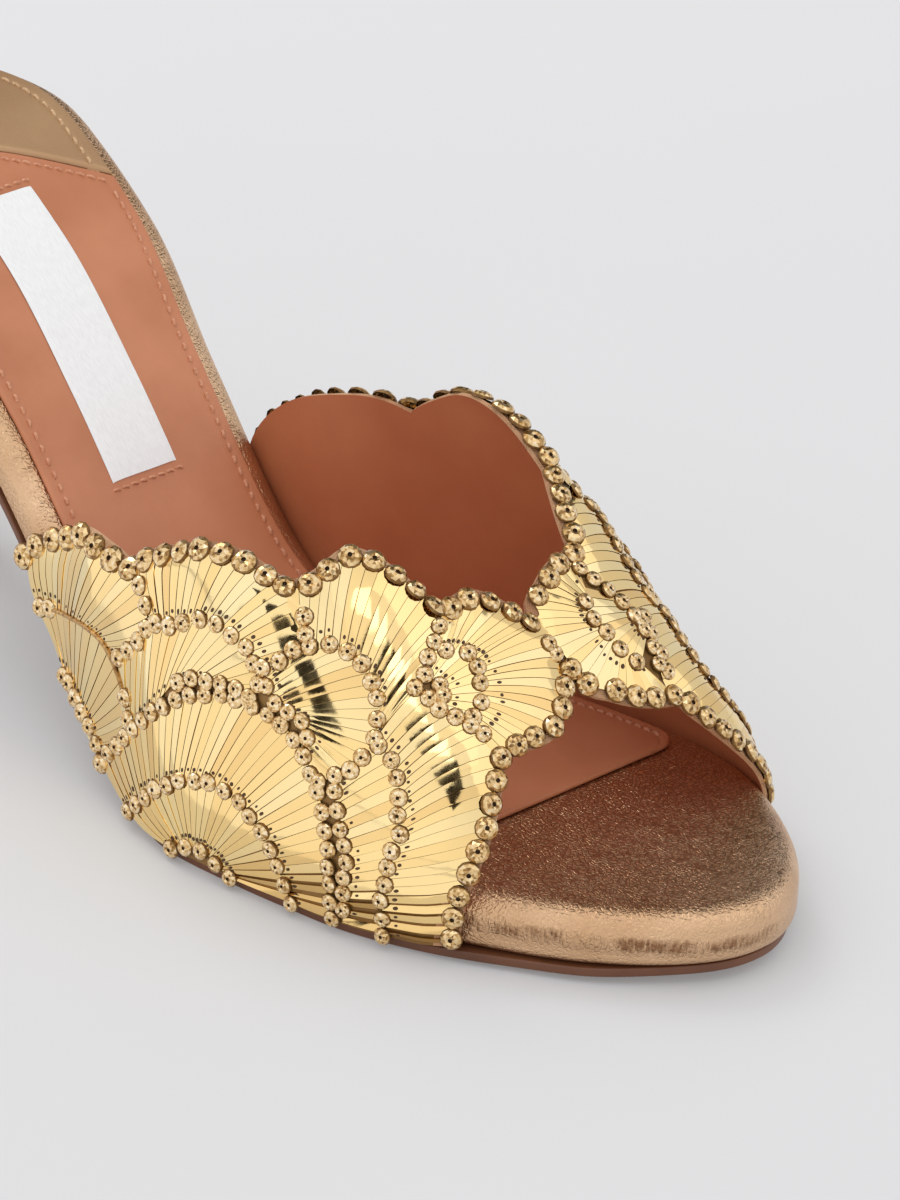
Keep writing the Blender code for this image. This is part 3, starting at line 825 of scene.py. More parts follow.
# %% Build the vamp
CUT_EDGE = 2.6 * MM  # how far the bare edge leather shows on the outside
rows, columns = 361, 61
shift = np.linspace(0, 1, rows)
vamp_across = np.where(shift < 0.5, 90 * (2 * shift) ** 1.3, 180 - 90 * (2 - 2 * shift) ** 1.3)
back = edge_of_vamp(THROAT_EDGE, vamp_across)[:, None]
front = edge_of_vamp(TOE_EDGE, vamp_across)[:, None]
vamp_s = back + (front - back) * np.linspace(0, 1, columns)[None, :]
vamp_a = np.broadcast_to(vamp_across[:, None], vamp_s.shape)
inside = vamp_inside(vamp_s, vamp_a)
normals = outward(inside)
outside = inside + normals * wall_depth(vamp_s, vamp_a)[..., None]
lining = inside + normals * (lining_folds(vamp_s, vamp_a) * 0.6)[..., None]
vamp_points = np.concatenate([lining.reshape(-1, 3), outside.reshape(-1, 3)])
inner_faces = grid_faces(rows, columns, flip=True)
outer_faces = grid_faces(rows, columns, first=rows * columns)
cut_faces = rim_faces(rows, columns)
near_edge = np.minimum(np.arange(columns - 1), np.arange(columns - 1)[::-1]) * (front - back) / columns
outer_slots = np.where(near_edge[:-1] < CUT_EDGE, 2, 1).ravel().tolist()
vamp_slots = [0] * len(inner_faces) + outer_slots + [2] * len(cut_faces)
vamp_faces = inner_faces + outer_faces + cut_faces
vamp_leathers = [lining_leather, backing_leather, edge_leather]
vamp = new_piece("vamp_leather", vamp_points, vamp_faces, vamp_leathers, vamp_slots)
vamp.data.set_sharp_from_angle(angle=SHARP_EDGE)
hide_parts("upper")

# %% [markdown]
# ## A map of the vamp's outside
# The decoration is easiest to set out as a maker would with a tape: so many millimetres forward
# from the heel's back, and so many up the wall from that wing's foot. The map measures the outside
# once, and then gives the point and the outward direction for any such pair of numbers on the
# outer wing (-1) or the inner wing (1).

# %% Measure the wall
map_s = np.linspace(0.28 * LENGTH, 0.92 * LENGTH, 161)
map_x = np.linspace(0, 1, 401)
map_a = np.where(map_x < 0.5, 90 * (2 * map_x) ** 1.4, 180 - 90 * (2 - 2 * map_x) ** 1.4)
map_inside = vamp_inside(map_s[:, None], map_a[None, :])
map_depth = wall_depth(map_s[:, None] + 0 * map_a[None, :], map_a[None, :] + 0 * map_s[:, None])
map_outside = map_inside + outward(map_inside) * map_depth[..., None]
map_normal = outward(map_outside)
girth_step = np.linalg.norm(np.diff(map_outside, axis=1), axis=-1)
girth = np.concatenate([np.zeros((len(map_s), 1)), np.cumsum(girth_step, axis=1)], 1)
TAPE = np.arange(0, 120.01, 0.5) * MM
wall_map = {}
for wing in (-1, 1):
    table = np.zeros((len(map_s), len(TAPE), 7))
    for i in range(len(map_s)):
        run = girth[i] if wing < 0 else (girth[i, -1] - girth[i])[::-1]
        order = slice(None) if wing < 0 else slice(None, None, -1)
        packed = np.concatenate([map_outside[i], map_normal[i], map_a[:, None]], -1)[order]
        for k in range(7):
            table[i, :, k] = np.interp(TAPE, run, packed[:, k])
    wall_map[wing] = table


def on_wall(s, up, wing=-1):
    """Points, outward directions and angles at s and up, both in mm."""
    table = wall_map[wing]
    x = np.clip((s * MM - map_s[0]) / (map_s[1] - map_s[0]), 0, len(map_s) - 1.001)
    y = np.clip(up * MM / (TAPE[1] - TAPE[0]), 0, len(TAPE) - 1.001)
    i, j = x.astype(int), y.astype(int)
    f, g = (x - i)[..., None], (y - j)[..., None]
    low = table[i, j] * (1 - f) + table[i + 1, j] * f
    high = table[i, j + 1] * (1 - f) + table[i + 1, j + 1] * f
    read = low * (1 - g) + high * g
    return read[..., :3], unit(read[..., 3:6]), read[..., 6]


def taped(stations, angles, wing):
    """(s, up) in mm for stations (m) and angles across: how far up the wall from the wing's foot."""
    up = []
    for station, angle in zip(stations, angles):
        i = int(np.clip(np.searchsorted(map_s, station) - 1, 0, len(map_s) - 2))
        f = (station - map_s[i]) / (map_s[i + 1] - map_s[i])
        run = girth[i] * (1 - f) + girth[i + 1] * f
        here = np.interp(angle, map_a, run)
        up.append(here if wing < 0 else run[-1] - here)
    return np.stack([stations, np.array(up)], -1) / MM


def tape_of_edge(table, start, end, wing=-1, count=160):
    """(s, up) in mm along one scalloped edge, from one angle across to another."""
    across = np.linspace(start, end, count)
    return taped(edge_of_vamp(table, across), across, wing)


print("girth at the ball: %.0f mm" % (1000 * girth[100, -1]))

# %% [markdown]
# ## Rows set out
# Each fan has an inner row and an outer row, and its strips run from one to the other. The rows are
# drawn through a few points on the map: millimetres forward, millimetres up. A smooth curve goes
# through them, and everything along it is spaced evenly by its length.


# %% Curves through a few points
def smooth_run(points, per_span=14):
    """A smooth curve through a few points (mm)."""
    p = np.asarray(points, float)
    p = np.concatenate([[2 * p[0] - p[1]], p, [2 * p[-1] - p[-2]]])
    out = []
    f = np.linspace(0, 1, per_span, endpoint=False)[:, None]
    for a, b, c, d in zip(p, p[1:], p[2:], p[3:]):
        bend = (2 * a - 5 * b + 4 * c - d) * f**2 + (3 * b - a - 3 * c + d) * f**3
        out.append(b + 0.5 * ((c - a) * f + bend))
    return np.concatenate([*out, p[-2:-1]])


def lengths(run, wing=None):
    """How far along a run each of its points is, in mm. With a wing, it is measured on the wall."""
    flat = run if wing is None else on_wall(run[:, 0], run[:, 1], wing)[0] / MM
    steps = np.linalg.norm(np.diff(flat, axis=0), axis=-1)
    return np.concatenate([[0], np.cumsum(steps)])


def along_run(run, fractions, wing=None):
    """Points at fractions of a run's length."""
    length = lengths(run, wing)
    where = np.asarray(fractions) * length[-1]
    return np.stack([np.interp(where, length, run[:, k]) for k in range(run.shape[1])], -1)


def moved_over(run, distance, wing):
    """A run moved square to itself on the wall, to the right if it is followed upwards."""
    s, up = run[:, 0], run[:, 1]
    centre, normal, _ = on_wall(s, up, wing)
    by_s = (on_wall(s + 0.5, up, wing)[0] - on_wall(s - 0.5, up, wing)[0]) / MM
    by_up = (on_wall(s, up + 0.5, wing)[0] - on_wall(s, up - 0.5, wing)[0]) / MM
    ahead = unit(np.gradient(centre, axis=0))
    square = np.cross(ahead, normal) * distance * -wing
    ss, su, uu = (by_s * by_s).sum(-1), (by_s * by_up).sum(-1), (by_up * by_up).sum(-1)
    qs, qu = (square * by_s).sum(-1), (square * by_up).sum(-1)
    whole = ss * uu - su * su
    return run + np.stack([(qs * uu - qu * su) / whole, (qu * ss - qs * su) / whole], -1)


def part_of(run, start, end):
    """The stretch of a run between two fractions, which may go backwards."""
    return along_run(run, np.linspace(start, end, 60))


print("points in a run through three:", len(smooth_run([(0, 0), (1, 2), (2, 0)])))

# %% Rows on the outer wing
# forward and up, in mm
OUTER_ROWS = {
    "back_seam": ((82.5, 0.0), (86, 4.2), (95, 13.3), (101, 18.3), (107, 20.8), (112, 20.3), (116, 17.8)),
    "back_low": ((92.5, 0.0), (96, 1.9), (100, 2.5), (105, 2.2), (107.4, 0.1)),
    "back_border": ((113, 38.8), (117.5, 37.8), (119, 33.8), (116, 28.3), (111.5, 22.3)),
    "second_arc": (
        (119, 35.8), (122.5, 36.3), (127, 38.8), (132, 41.3), (137, 40.8), (141, 38.8), (143.2, 34.8),
    ),
    "second_arc_end": ((143.2, 34.8), (142, 30.8)),
    "second_small": ((127.5, 28.8), (131.5, 31.3), (135, 32.1), (140.5, 32.8)),
    "main_arc": (
        (107.6, 0.0), (110.2, 4.4), (117, 13.8), (123.5, 21.8), (130.5, 27.8), (138, 30.8), (145, 30.6),
        (151, 28.6), (156, 22.8), (159, 16.8), (160.3, 10.8), (161, 5.8), (161.6, 0.3),
    ),
    "main_second": (
        (117.8, 0.0), (119.6, 2.2), (125, 8.3), (131.5, 13.3),
        (138.5, 15.3), (144.5, 13.3), (149.5, 8.3), (154, 0.3),
    ),
    "main_small": ((129.8, 0.0), (133.4, 1.9), (137.5, 2.1), (141.6, 0.1)),
    "second_border": ((144, 49.8), (147.3, 45.8), (146.7, 40.8), (143, 37.3)),
    "third_arc": (
        (147, 41.8), (151, 44.4), (156, 42.8), (160, 38.3), (162.3, 31.8), (161, 26.4), (156.5, 22.6),
    ),
    "third_small": ((143, 37.3), (147, 32.4), (150.6, 32.2), (153.2, 30.3), (152.7, 27.2)),
    "third_border": ((158.5, 56.8), (160.5, 50.8), (162.5, 44.8), (163, 39.8)),
    "fourth_arc": ((161.5, 48.8), (163, 51.4), (166, 49.8), (169, 43.8), (170.6, 38.8)),
    "fourth_small": ((162.5, 44.8), (165.4, 43), (166.3, 39.8)),
    "toe_top": ((163.2, 42.2), (166.2, 39.9), (170.6, 38.6), (173.2, 37.6)),
    "toe_outer_arc": (
        (162.5, 31.8), (166.5, 28.3), (169.3, 21.8), (170.4, 17.8),
        (169.8, 11.8), (169.8, 6.8), (170.4, 0.3),
    ),
    "toe_inner_arc": ((158.8, 24.3), (161, 18.3), (163.2, 13.3), (163.4, 6.8), (163.6, 0.3)),
}
runs = {name: smooth_run(points) for name, points in OUTER_ROWS.items()}
print("rows on the outer wing:", len(runs))

# %% [markdown]
# ### The inner wing
# The inner wing is the outer one in a mirror, fitted to its own scallops: each outer scallop has
# its partner there. A row crosses over by its angle and by how far it lies between the two edges.
# The rows near the ridge, which show most, are listed instead.

# %% Rows on the inner wing
OUTER_CUSPS = (0, 23, 46, 73, 89)
INNER_CUSPS = (180, 141, 115, 101, 89)


def crossed_over(run):
    """A run on the outer wing, carried to the inner wing."""
    _, _, across = on_wall(run[:, 0], run[:, 1], -1)
    start = edge_of_vamp(THROAT_EDGE, across)
    share = (run[:, 0] * MM - start) / (edge_of_vamp(TOE_EDGE, across) - start)
    partner = np.interp(across, OUTER_CUSPS, INNER_CUSPS)
    start = edge_of_vamp(THROAT_EDGE, partner)
    return taped(start + share * (edge_of_vamp(TOE_EDGE, partner) - start), partner, 1)


INNER_ROWS = {
    "third_arc": ((145, 46.8), (150, 49.6), (155, 49.2), (159.5, 46.2), (163.5, 41.8)),
    "third_border": ((158.5, 60.3), (162, 55.3), (166, 48.8), (169.5, 45), (175.5, 41.4)),
    "fourth_arc": ((162.6, 57.4), (164.8, 57.6), (168, 54.2), (171.5, 49.8), (173.5, 46.2)),
    "toe_outer_arc": (
        (163.5, 41.8), (165.5, 37), (170.5, 33.8), (174.5, 28.3),
        (176.5, 20.8), (177, 10.8), (176, 0.3),
    ),
}
inner_runs = {name: crossed_over(run) for name, run in runs.items()}
inner_runs.update({name: smooth_run(points) for name, points in INNER_ROWS.items()})
print("rows on the inner wing:", len(inner_runs))

# %% [markdown]
# ## Mirror strips
# The strips are cut from a gold mirror film, a thin polyester with a metal layer and a clear coat,
# and laid one by one like the folds of a fan. Each is narrow at its inner end and wide at its outer
# end, and lies a little tilted over the next, which is what breaks the reflections into slivers. So
# each strip is its own small patch of the wall: lifted, crowned, tilted a degree or two by chance,
# with thin sides. Their ends hide under the stones. Towards the back of a wing they are set wider,
# and near the sole, in front, they are looser and coloured darker: painted shade and dark
# reflection where the wall turns under towards the floor.

# %% The mirror film
mirror_film, tree, shader = new_material("gold_mirror_film", Metallic=1.0)
tone_and_shade = add(tree, "ShaderNodeAttribute", attribute_name="strip_tone_and_shade").outputs["Fac"]
FILM_STOPS = ((0.0, "#A87A3C"), (0.3, "#F6D08C"), (0.6, "#FFDE9A"), (1.0, "#FFE9B2"))
film_tone_and_shade = add(tree, "ShaderNodeValToRGB", {"Fac": tone_and_shade}, FILM_STOPS)
where = add(tree, "ShaderNodeTexCoord").outputs["Object"]
haze = add(tree, "ShaderNodeTexNoise", {"Vector": where, "Scale": 420.0, "Detail": 5.0}).outputs["Fac"]
by_haze = {"Value": haze, "From Min": 0.35, "From Max": 0.75, "To Min": 0.04, "To Max": 0.14}
gloss = add(tree, "ShaderNodeMapRange", by_haze).outputs["Result"]
ripple = add(tree, "ShaderNodeBump", {"Height": haze, "Distance": 0.012 * MM}).outputs["Normal"]
wire(shader, Base_Color=film_tone_and_shade.outputs["Color"], Roughness=gloss, Normal=ripple)
print("nodes in the film:", len(tree.nodes))

# %% How strips are spaced
STRIP_ALONG = 9  # points along a strip
strip_across = np.array([-1.0, -1.0, -0.7, 0.0, 0.7, 1.0, 1.0])  # shares of half a strip's width
strip_drop = np.array([-0.3, 0.0, 0.005, 0.009, 0.005, 0.0, -0.3])  # its section: thin sides, a crown
STRIP_LIFT = 0.35  # over the wall, in mm
GAP_IN, GAP_OUT = 0.09, 0.03  # between strips at their two ends, as shares of a step
SHINGLE = 0.03  # how far each lies over the next, in mm
LOOSE = 0.55  # how much narrower than its step a strip near the sole may be
HOLE_IN = 2.0  # from a strip's inner end to its thread hole, in mm
strip_grids, strip_shade, hole_places = [], [], []


WIDER = 0.45  # how much wider strips and stones are set at the back of a wing
WIDER_FROM, WIDER_OVER = 146, 46  # mm from the heel's back, and mm


def spread(s):
    """How wide strips and stones are set at s (mm), against those in front."""
    return 1 + WIDER * soft_step((WIDER_FROM - s) / WIDER_OVER)


def even_steps(run, wing, spacing):
    """Fractions of a run for steps of about one spacing (mm), wider towards the back."""
    length = lengths(run, wing)
    middle_s = (run[1:, 0] + run[:-1, 0]) / 2
    steps = np.concatenate([[0], np.cumsum(np.diff(length) / spread(middle_s))])
    count = max(int(round(steps[-1] / spacing)), 1)
    return count, lambda f: np.interp(np.asarray(f) / count * steps[-1], steps, length / length[-1])


def near_sole(spots):
    """1 for strips that end at the sole in front of the main fan's middle, else 0, with soft limits."""
    low = (12 - spots[:, 1]) / 9
    ahead = (spots[:, 0] - 144) / 12
    return soft_step(low) * soft_step(ahead)


print("points in a strip:", STRIP_ALONG * len(strip_across))


# %% Cut and lay one fan
def mark_holes(start, end, wing):
    """Four strips in five, from start to end (mm), have a thread hole near the inner end."""
    sewn = chance.uniform(0, 1, len(start)) < 0.8
    start, end = start[sewn], end[sewn]
    ahead = end - start
    reach = np.linalg.norm(ahead, axis=-1)
    clear = HOLE_IN + chance.uniform(-0.15, 0.35, len(reach))
    at = np.minimum(clear / np.maximum(reach, 3), 0.4)[:, None]
    spot = start * (1 - at) + end * at
    centre, normal, _ = on_wall(spot[:, 0], spot[:, 1], wing)
    further, _, _ = on_wall(spot[:, 0] + ahead[:, 0] * 0.1, spot[:, 1] + ahead[:, 1] * 0.1, wing)
    hole_places.append((centre + normal * ((STRIP_LIFT + 0.09) * MM), normal, further - centre))


def fan(inner, outer, wing, pitch=2.05, holes=True):
    """Strips from an inner run to an outer run (mm). By chance, each has its own gap, roll from
    side to side, tip from end to end, belly along its middle and a last slight ripple."""
    count, share_at = even_steps(outer, wing, pitch)
    each = (count, 1, 1)
    v = np.linspace(0, 1, STRIP_ALONG)[None, :, None]
    k = np.arange(count)[:, None, None]
    slack = chance.uniform(0.5, 1.8, each)
    low = near_sole(along_run(outer, share_at(k[:, 0, 0] + 0.5), wing))
    loose = LOOSE * low[:, None, None] * chance.uniform(0.3, 1.2, each)
    # painted shade: strips near the sole, in front, are coloured towards the darkest film stop
    strip_shade.append(low * chance.uniform(0.25, 1.0, count))
    half = (1 - slack * (GAP_IN * (1 - v) ** 1.5 + GAP_OUT * v) - loose) / 2
    at = k + 0.5 + strip_across * half
    start = along_run(inner, at / count, wing)
    end = along_run(outer, share_at(at), wing)
    reach = np.linalg.norm(end - start, axis=-1).mean(-1).mean(-1)[:, None, None]
    flat = start * (1 - v[..., None]) + end * v[..., None]
    points, normals, _ = on_wall(flat[..., 0], flat[..., 1], wing)
    roll = chance.normal(0, 0.016, each) + SHINGLE
    roll = roll + 0.35 * loose * chance.choice([-1, 1], each)
    tip = chance.normal(0, 0.03, each) + 0.1 * (chance.uniform(0, 1, each) < 0.07)
    belly = chance.normal(0.04, 0.025, each) * np.minimum(reach / 14, 1.6)
    turn = chance.uniform(0, 2 * math.pi, each)
    height = STRIP_LIFT + strip_drop + roll * strip_across
    height = height + tip * (v - 0.5) + belly * np.sin(math.pi * v)
    height = height + 0.008 * np.sin(turn + 9 * v)
    strip_grids.append(points + normals * (height * MM)[..., None])
    if holes:
        mark_holes(start[:, 0, 3], end[:, 0, 3], wing)


def edge_run(table, start, end, wing):
    """The line that the edge stones sit on, between two angles across."""
    inset = 1.75 if table is THROAT_EDGE and wing < 0 else 1.4
    foot_first = (end - start) * wing < 0
    run = tape_of_edge(table, start, end, wing)
    line = moved_over(run if foot_first else run[::-1], inset if table is THROAT_EDGE else -inset, wing)
    return line if foot_first else line[::-1]


def joined(*parts):
    return np.concatenate(parts)


print("length of the first scallop: %.0f mm" % lengths(edge_run(THROAT_EDGE, 0, 23, -1), -1)[-1])

# %% [markdown]
# ### Fan by fan
# Each fan on the outer wing is named by its rows. The two along the throat and the toe run out to
# the edge stones, so their outer row is the scalloped edge itself, moved in to the middle of the
# stones. Counts are chosen for strips about two millimetres wide at the outer end.

# %% Lay the fans
for wing, r, throat, toe in (
    (-1, runs, OUTER_CUSPS, (89, 61, 0)),
    (1, inner_runs, INNER_CUSPS, (89, 108, 180)),
):
    scallops = [edge_run(THROAT_EDGE, *ends, wing) for ends in zip(throat, throat[1:])]
    toe_middle, toe_side = (edge_run(TOE_EDGE, *ends, wing) for ends in zip(toe, toe[1:]))
    border = r["back_border"]
    fan(part_of(r["back_seam"], 0, 0.86), joined(scallops[0], part_of(border, 0.15, 0.97)), wing)
    fan(r["back_low"], joined(part_of(r["back_seam"], 0, 1), part_of(r["main_arc"], 0.13, 0.03)), wing)
    fan(r["second_arc"], joined(scallops[1], part_of(r["second_border"], 0.1, 0.9)), wing)
    fan(
        joined(part_of(r["main_arc"], 0.155, 0.25), r["second_small"]),
        joined(part_of(border, 1, 0.35), r["second_arc"], r["second_arc_end"]),
        wing,
    )
    fan(r["main_second"], r["main_arc"], wing)
    fan(r["main_small"], r["main_second"], wing, pitch=1.9)
    fan(r["third_small"], r["third_arc"], wing, pitch=1.9)
    bridge_ends = (tape_of_edge(table, 89, 90, wing, 1) for table in (THROAT_EDGE, TOE_EDGE))
    bridge = joined(*(end + (move, 0) for end, move in zip(bridge_ends, (0.8, -0.8))))
    fan(r["fourth_arc"], joined(scallops[3], bridge, toe_middle), wing)
    fan(part_of(r["fourth_small"], 0, 1), r["fourth_arc"], wing, pitch=1.8)
    fan(r["toe_inner_arc"], r["toe_outer_arc"], wing, pitch=1.95)
    border = r["third_border"]
    if wing < 0:
        fan(part_of(r["third_arc"], 0, 0.72), joined(scallops[2], part_of(border, 0.1, 1)), wing)
        fan(r["toe_outer_arc"], joined(r["toe_top"], toe_side), wing)
    else:
        fan(r["third_arc"], joined(scallops[2], part_of(border, 0, 0.38)), wing)
        toe_side = edge_run(TOE_EDGE, 104, 180, wing)
        fan(r["toe_outer_arc"], joined(part_of(border, 0.4, 1), toe_side), wing)
        ends = np.array([(163.5, 41.8), (162.2, 33.6)])
        fan(part_of(r["main_arc"], 0.65, 0.7), ends, wing, holes=False)
    fan(np.array([(98.5, 0.0), (102.0, 0.0)]), r["back_low"], wing, holes=False)
print("fans:", len(strip_grids))

# %% Join the strips
points = np.concatenate([grid.reshape(-1, 3) for grid in strip_grids])
strip_size = STRIP_ALONG * len(strip_across)
strips_total = len(points) // strip_size
faces = []
for k in range(strips_total):
    faces += grid_faces(STRIP_ALONG, len(strip_across), first=k * strip_size)
strips = new_piece("mirror_strips", points, faces, [mirror_film])
strips.data.set_sharp_from_angle(angle=math.radians(35))
tone = strips.data.attributes.new("strip_tone_and_shade", "FLOAT", "POINT")
# the random tone of each strip, darkened near the sole by painted shade
tones_and_shade = np.clip(chance.normal(0.65, 0.17, strips_total), 0.3, 1) * (1 - np.concatenate(strip_shade))
tone.data.foreach_set("value", np.repeat(tones_and_shade, strip_size).astype(np.float32))
print("strips:", strips_total)

# %% [markdown]
# ### The rolled cord
# The seam between the two fans at the back of a wing is covered with a thin rolled cord instead of
# stones. It is a tube that follows the seam on the wall, with the roll's twist in its bump.

# %% Lay the cord
FOIL_CORD = {"Metallic": 0.5, "Roughness": 0.4}
cord_leather = two_tone("rolled_gold_leather_cord", "#8A6030", "#D6AC6C", 1100.0, relief=0.12, **FOIL_CORD)
CORD_RADIUS = 0.34 * MM
CORD_LIFT = 0.5 * MM
for name, wing, r in (("seam_cord_outer", -1, runs), ("seam_cord_inner", 1, inner_runs)):
    seam = along_run(r["back_seam"], np.linspace(0, 1, 120), wing)
    centre, normal, _ = on_wall(seam[:, 0], seam[:, 1], wing)
    ahead = unit(np.gradient(centre, axis=0))
    sideways = np.cross(normal, ahead)
    round_turns = np.linspace(0, 2 * math.pi, 8, endpoint=False)[None, :, None]
    ring_now = np.cos(round_turns) * sideways[:, None] + np.sin(round_turns) * normal[:, None]
    tube = centre[:, None] + normal[:, None] * CORD_LIFT + ring_now * CORD_RADIUS
    new_piece(name, tube, grid_faces(120, 8, wrap=True), [cord_leather])

# %% [markdown]
# ### Thread holes
# A strip is sewn down near its inner end, and the needle leaves one dark hole. At this size a
# small dark oval on the film is all that shows, so it is a flat dark disc: painted shade of the hole.

# %% Mark the thread holes
# painted shade: a dark colour that stands for the shade in holes, on the thread holes and the stones' pits
dark_hole_shade = two_tone("painted_hole_shade", "#3A2410", "#5E4020", 3000.0, Roughness=0.7)
angles = np.linspace(0, 2 * math.pi, 10, endpoint=False)
disc = ([(math.cos(a), math.sin(a), 0) for a in angles], [list(range(10))])
hole_at, hole_up, hole_ahead = (np.concatenate(parts) for parts in zip(*hole_places))
hole_sizes = np.ones((len(hole_at), 3)) * MM
hole_sizes[:, 0] *= chance.uniform(0.26, 0.48, len(hole_at))
hole_sizes[:, 1] *= chance.uniform(0.18, 0.32, len(hole_at))
set_down("thread_holes", disc, hole_at, hole_up, hole_ahead, hole_sizes, dark_hole_shade, smooth=False)

# %% [markdown]
# ## Stones
# The stones are pressed glass with a metal back, sewn through a hole in the middle. Light enters the
# facets and comes back champagne-coloured. A facet is a flat, so one stone is a bronze rim, two
# rings of points turned half a step against each other, and a small pit, coloured dark as painted
# shade in its hole. The copies differ a little in size, tilt, turn and tone, as sewn ones do.

# %% Glass and setting
GLASS = {"Metallic": 0.8, "Roughness": 0.16, "Coat_Weight": 0.5, "Coat_Roughness": 0.04}
stone_glass, tree, shader = new_material("champagne_pressed_glass", **GLASS)
where = add(tree, "ShaderNodeTexCoord").outputs["Object"]
facet = add(tree, "ShaderNodeAttribute", attribute_name="facet_tone").outputs["Fac"]
flaw = add(tree, "ShaderNodeTexNoise", {"Vector": where, "Scale": 1200.0, "Detail": 1.0}).outputs["Fac"]
lit = add(tree, "ShaderNodeMath", {0: flaw, 1: 0.7, 2: facet}, operation="MULTIPLY_ADD").outputs[0]
GLASS_STOPS = ((0.38, "#825A28"), (0.52, "#BE9454"), (0.66, "#E3BE84"), (0.84, "#F1D4A0"), (1.0, "#FFECC9"))
stone_tone = add(tree, "ShaderNodeValToRGB", {"Fac": lit}, GLASS_STOPS)
wire(shader, Base_Color=stone_tone.outputs["Color"])
BRONZE = {"Metallic": 0.5, "Roughness": 0.45}
stone_setting = two_tone("dark_bronze_setting", "#6B4A26", "#9A743E", 900.0, **BRONZE)
print("stops in the glass:", len(GLASS_STOPS))

# %% The stone
SIDES = 12
# radius and height, as shares of the stone's radius, and how many steps it is turned
STONE_RINGS = (
    (1.04, 0.00, 0.0),
    (1.03, 0.20, 0.0),
    (0.97, 0.28, 0.0),
    (0.74, 0.54, 0.5),
    (0.43, 0.64, 0.0),
    (0.21, 0.54, 0.0),
    (0.16, 0.24, 0.0),
)
PIT = (0, 0, 0.16)
RING_SLOTS = (2, 2, 0, 0, 0, 1)  # glass, painted hole shade or setting between two rings


def ring(radius, height, turned):
    a = (np.arange(SIDES) + turned) * 2 * math.pi / SIDES
    return np.stack([radius * np.cos(a), radius * np.sin(a), np.full(SIDES, height)], -1)


stone_points = np.concatenate([*(ring(*row) for row in STONE_RINGS), [PIT]])
stone_faces, stone_slots = [], []
for k, slot_now in enumerate(RING_SLOTS):
    a, b = k * SIDES, (k + 1) * SIDES
    for i in range(SIDES):
        j = (i + 1) % SIDES
        if k == 2:
            stone_faces += [[a + i, a + j, b + i], [a + j, b + j, b + i]]
        elif k == 3:
            stone_faces += [[a + i, b + j, b + i], [a + i, a + j, b + j]]
        else:
            stone_faces += [[a + i, a + j, b + j, b + i]]
        stone_slots += [slot_now] * (2 if k in (2, 3) else 1)
top = 6 * SIDES
stone_faces += [[top + i, top + (i + 1) % SIDES, 7 * SIDES] for i in range(SIDES)]
stone_slots += [1] * SIDES
print("faces in a stone:", len(stone_faces))

# %% [markdown]
# ### Setting the stones
# The big ones, four millimetres across, follow both scalloped edges a little inside the cut. The
# small ones, three millimetres, follow the rows between the fans. Each sits square to the wall, give
# or take a few degrees. Towards the back they are a little bigger and set wider, and those of the
# outer wing lean forward there.

# %% Set a row of stones
SMALL_STONE = {"radius": 1.44, "lift": 0.35}  # mm
EDGE_STONE = {"radius": 1.88, "lift": 0.4}
SMALL_PITCH = 3.0
OFF_LINE = 0.12  # mm, by chance
TILT = 0.07
BACK_BIGGER = 0.28
BACK_LEAN = np.array([-0.5, -0.6, 0.15])
stone_at, stone_up, stone_size = [], [], []


def set_row(run, pitch, wing, radius, lift, ends=(0.0, 0.0)):
    """Stones along a run (mm), evenly spaced, with so much of its two ends left free."""
    whole = lengths(run, wing)[-1]
    run = along_run(run, np.linspace(ends[0] / whole, 1 - ends[1] / whole, 120), wing)
    count, share_at = even_steps(run, wing, pitch)
    spots = along_run(run, share_at(np.arange(count + 1)), wing) + chance.normal(0, OFF_LINE, (count + 1, 2))
    points, normals, _ = on_wall(spots[:, 0], spots[:, 1], wing)
    wide = spread(spots[:, 0]) - 1
    lean = BACK_LEAN * wide[:, None] * (wing < 0)
    stone_at.append(points + normals * lift * MM)
    stone_up.append(unit(normals + lean + chance.normal(0, TILT, normals.shape)))
    stone_size.append(radius * (1 + BACK_BIGGER * wide) * chance.uniform(0.95, 1.05, count + 1))


print("stones per centimetre:", round(10 / SMALL_PITCH, 1))

# %% Set all the rows
ROW_ENDS = {
    "back_border": (2.5, 1.0),
    "second_arc": (2.6, 0.0),
    "second_arc_end": (2.8, 1.0),
    "second_small": (1.5, 1.0),
    "second_border": (3.0, 0.5),
    "third_arc": (2.8, 0.5),
    "third_small": (3.0, 2.0),
    "third_border": (2.5, 2.0),
    "fourth_arc": (2.4, 1.0),
    "fourth_small": (2.8, 2.0),
    "toe_top": (2.0, 1.0),
    "toe_outer_arc": (1.0, 0.0),
    "toe_inner_arc": (2.5, 2.5),
}
for wing, rows_now in ((-1, runs), (1, inner_runs)):
    for name, run in rows_now.items():
        if name == "back_seam":
            continue
        pitch = 2.2 if name == "back_low" else SMALL_PITCH
        set_row(run, pitch, wing, **SMALL_STONE, ends=ROW_ENDS.get(name, (0.0, 0.0)))
# pairs on the bridge, at the back and under the first border
for pair in (((167.2, 62.4), (168.4, 61.4)), ((83.5, 1.4), (86.4, 4.8)), ((115.0, 18.8), (116.8, 16.0))):
    set_row(np.array(pair), SMALL_PITCH, -1, **SMALL_STONE)
small_count = sum(len(part) for part in stone_at)
for table, wing, foot_angle, top_angle in (
    (THROAT_EDGE, -1, 0, 89.0),
    (THROAT_EDGE, 1, 180, 90.1),
    (TOE_EDGE, -1, 0, 89.3),
    (TOE_EDGE, 1, 180, 91.0),
):
    line = edge_run(table, foot_angle, top_angle, wing)
    set_row(line[line[:, 1] > 1.2], 3.8, wing, **EDGE_STONE)
print("rows of stones:", len(stone_at))

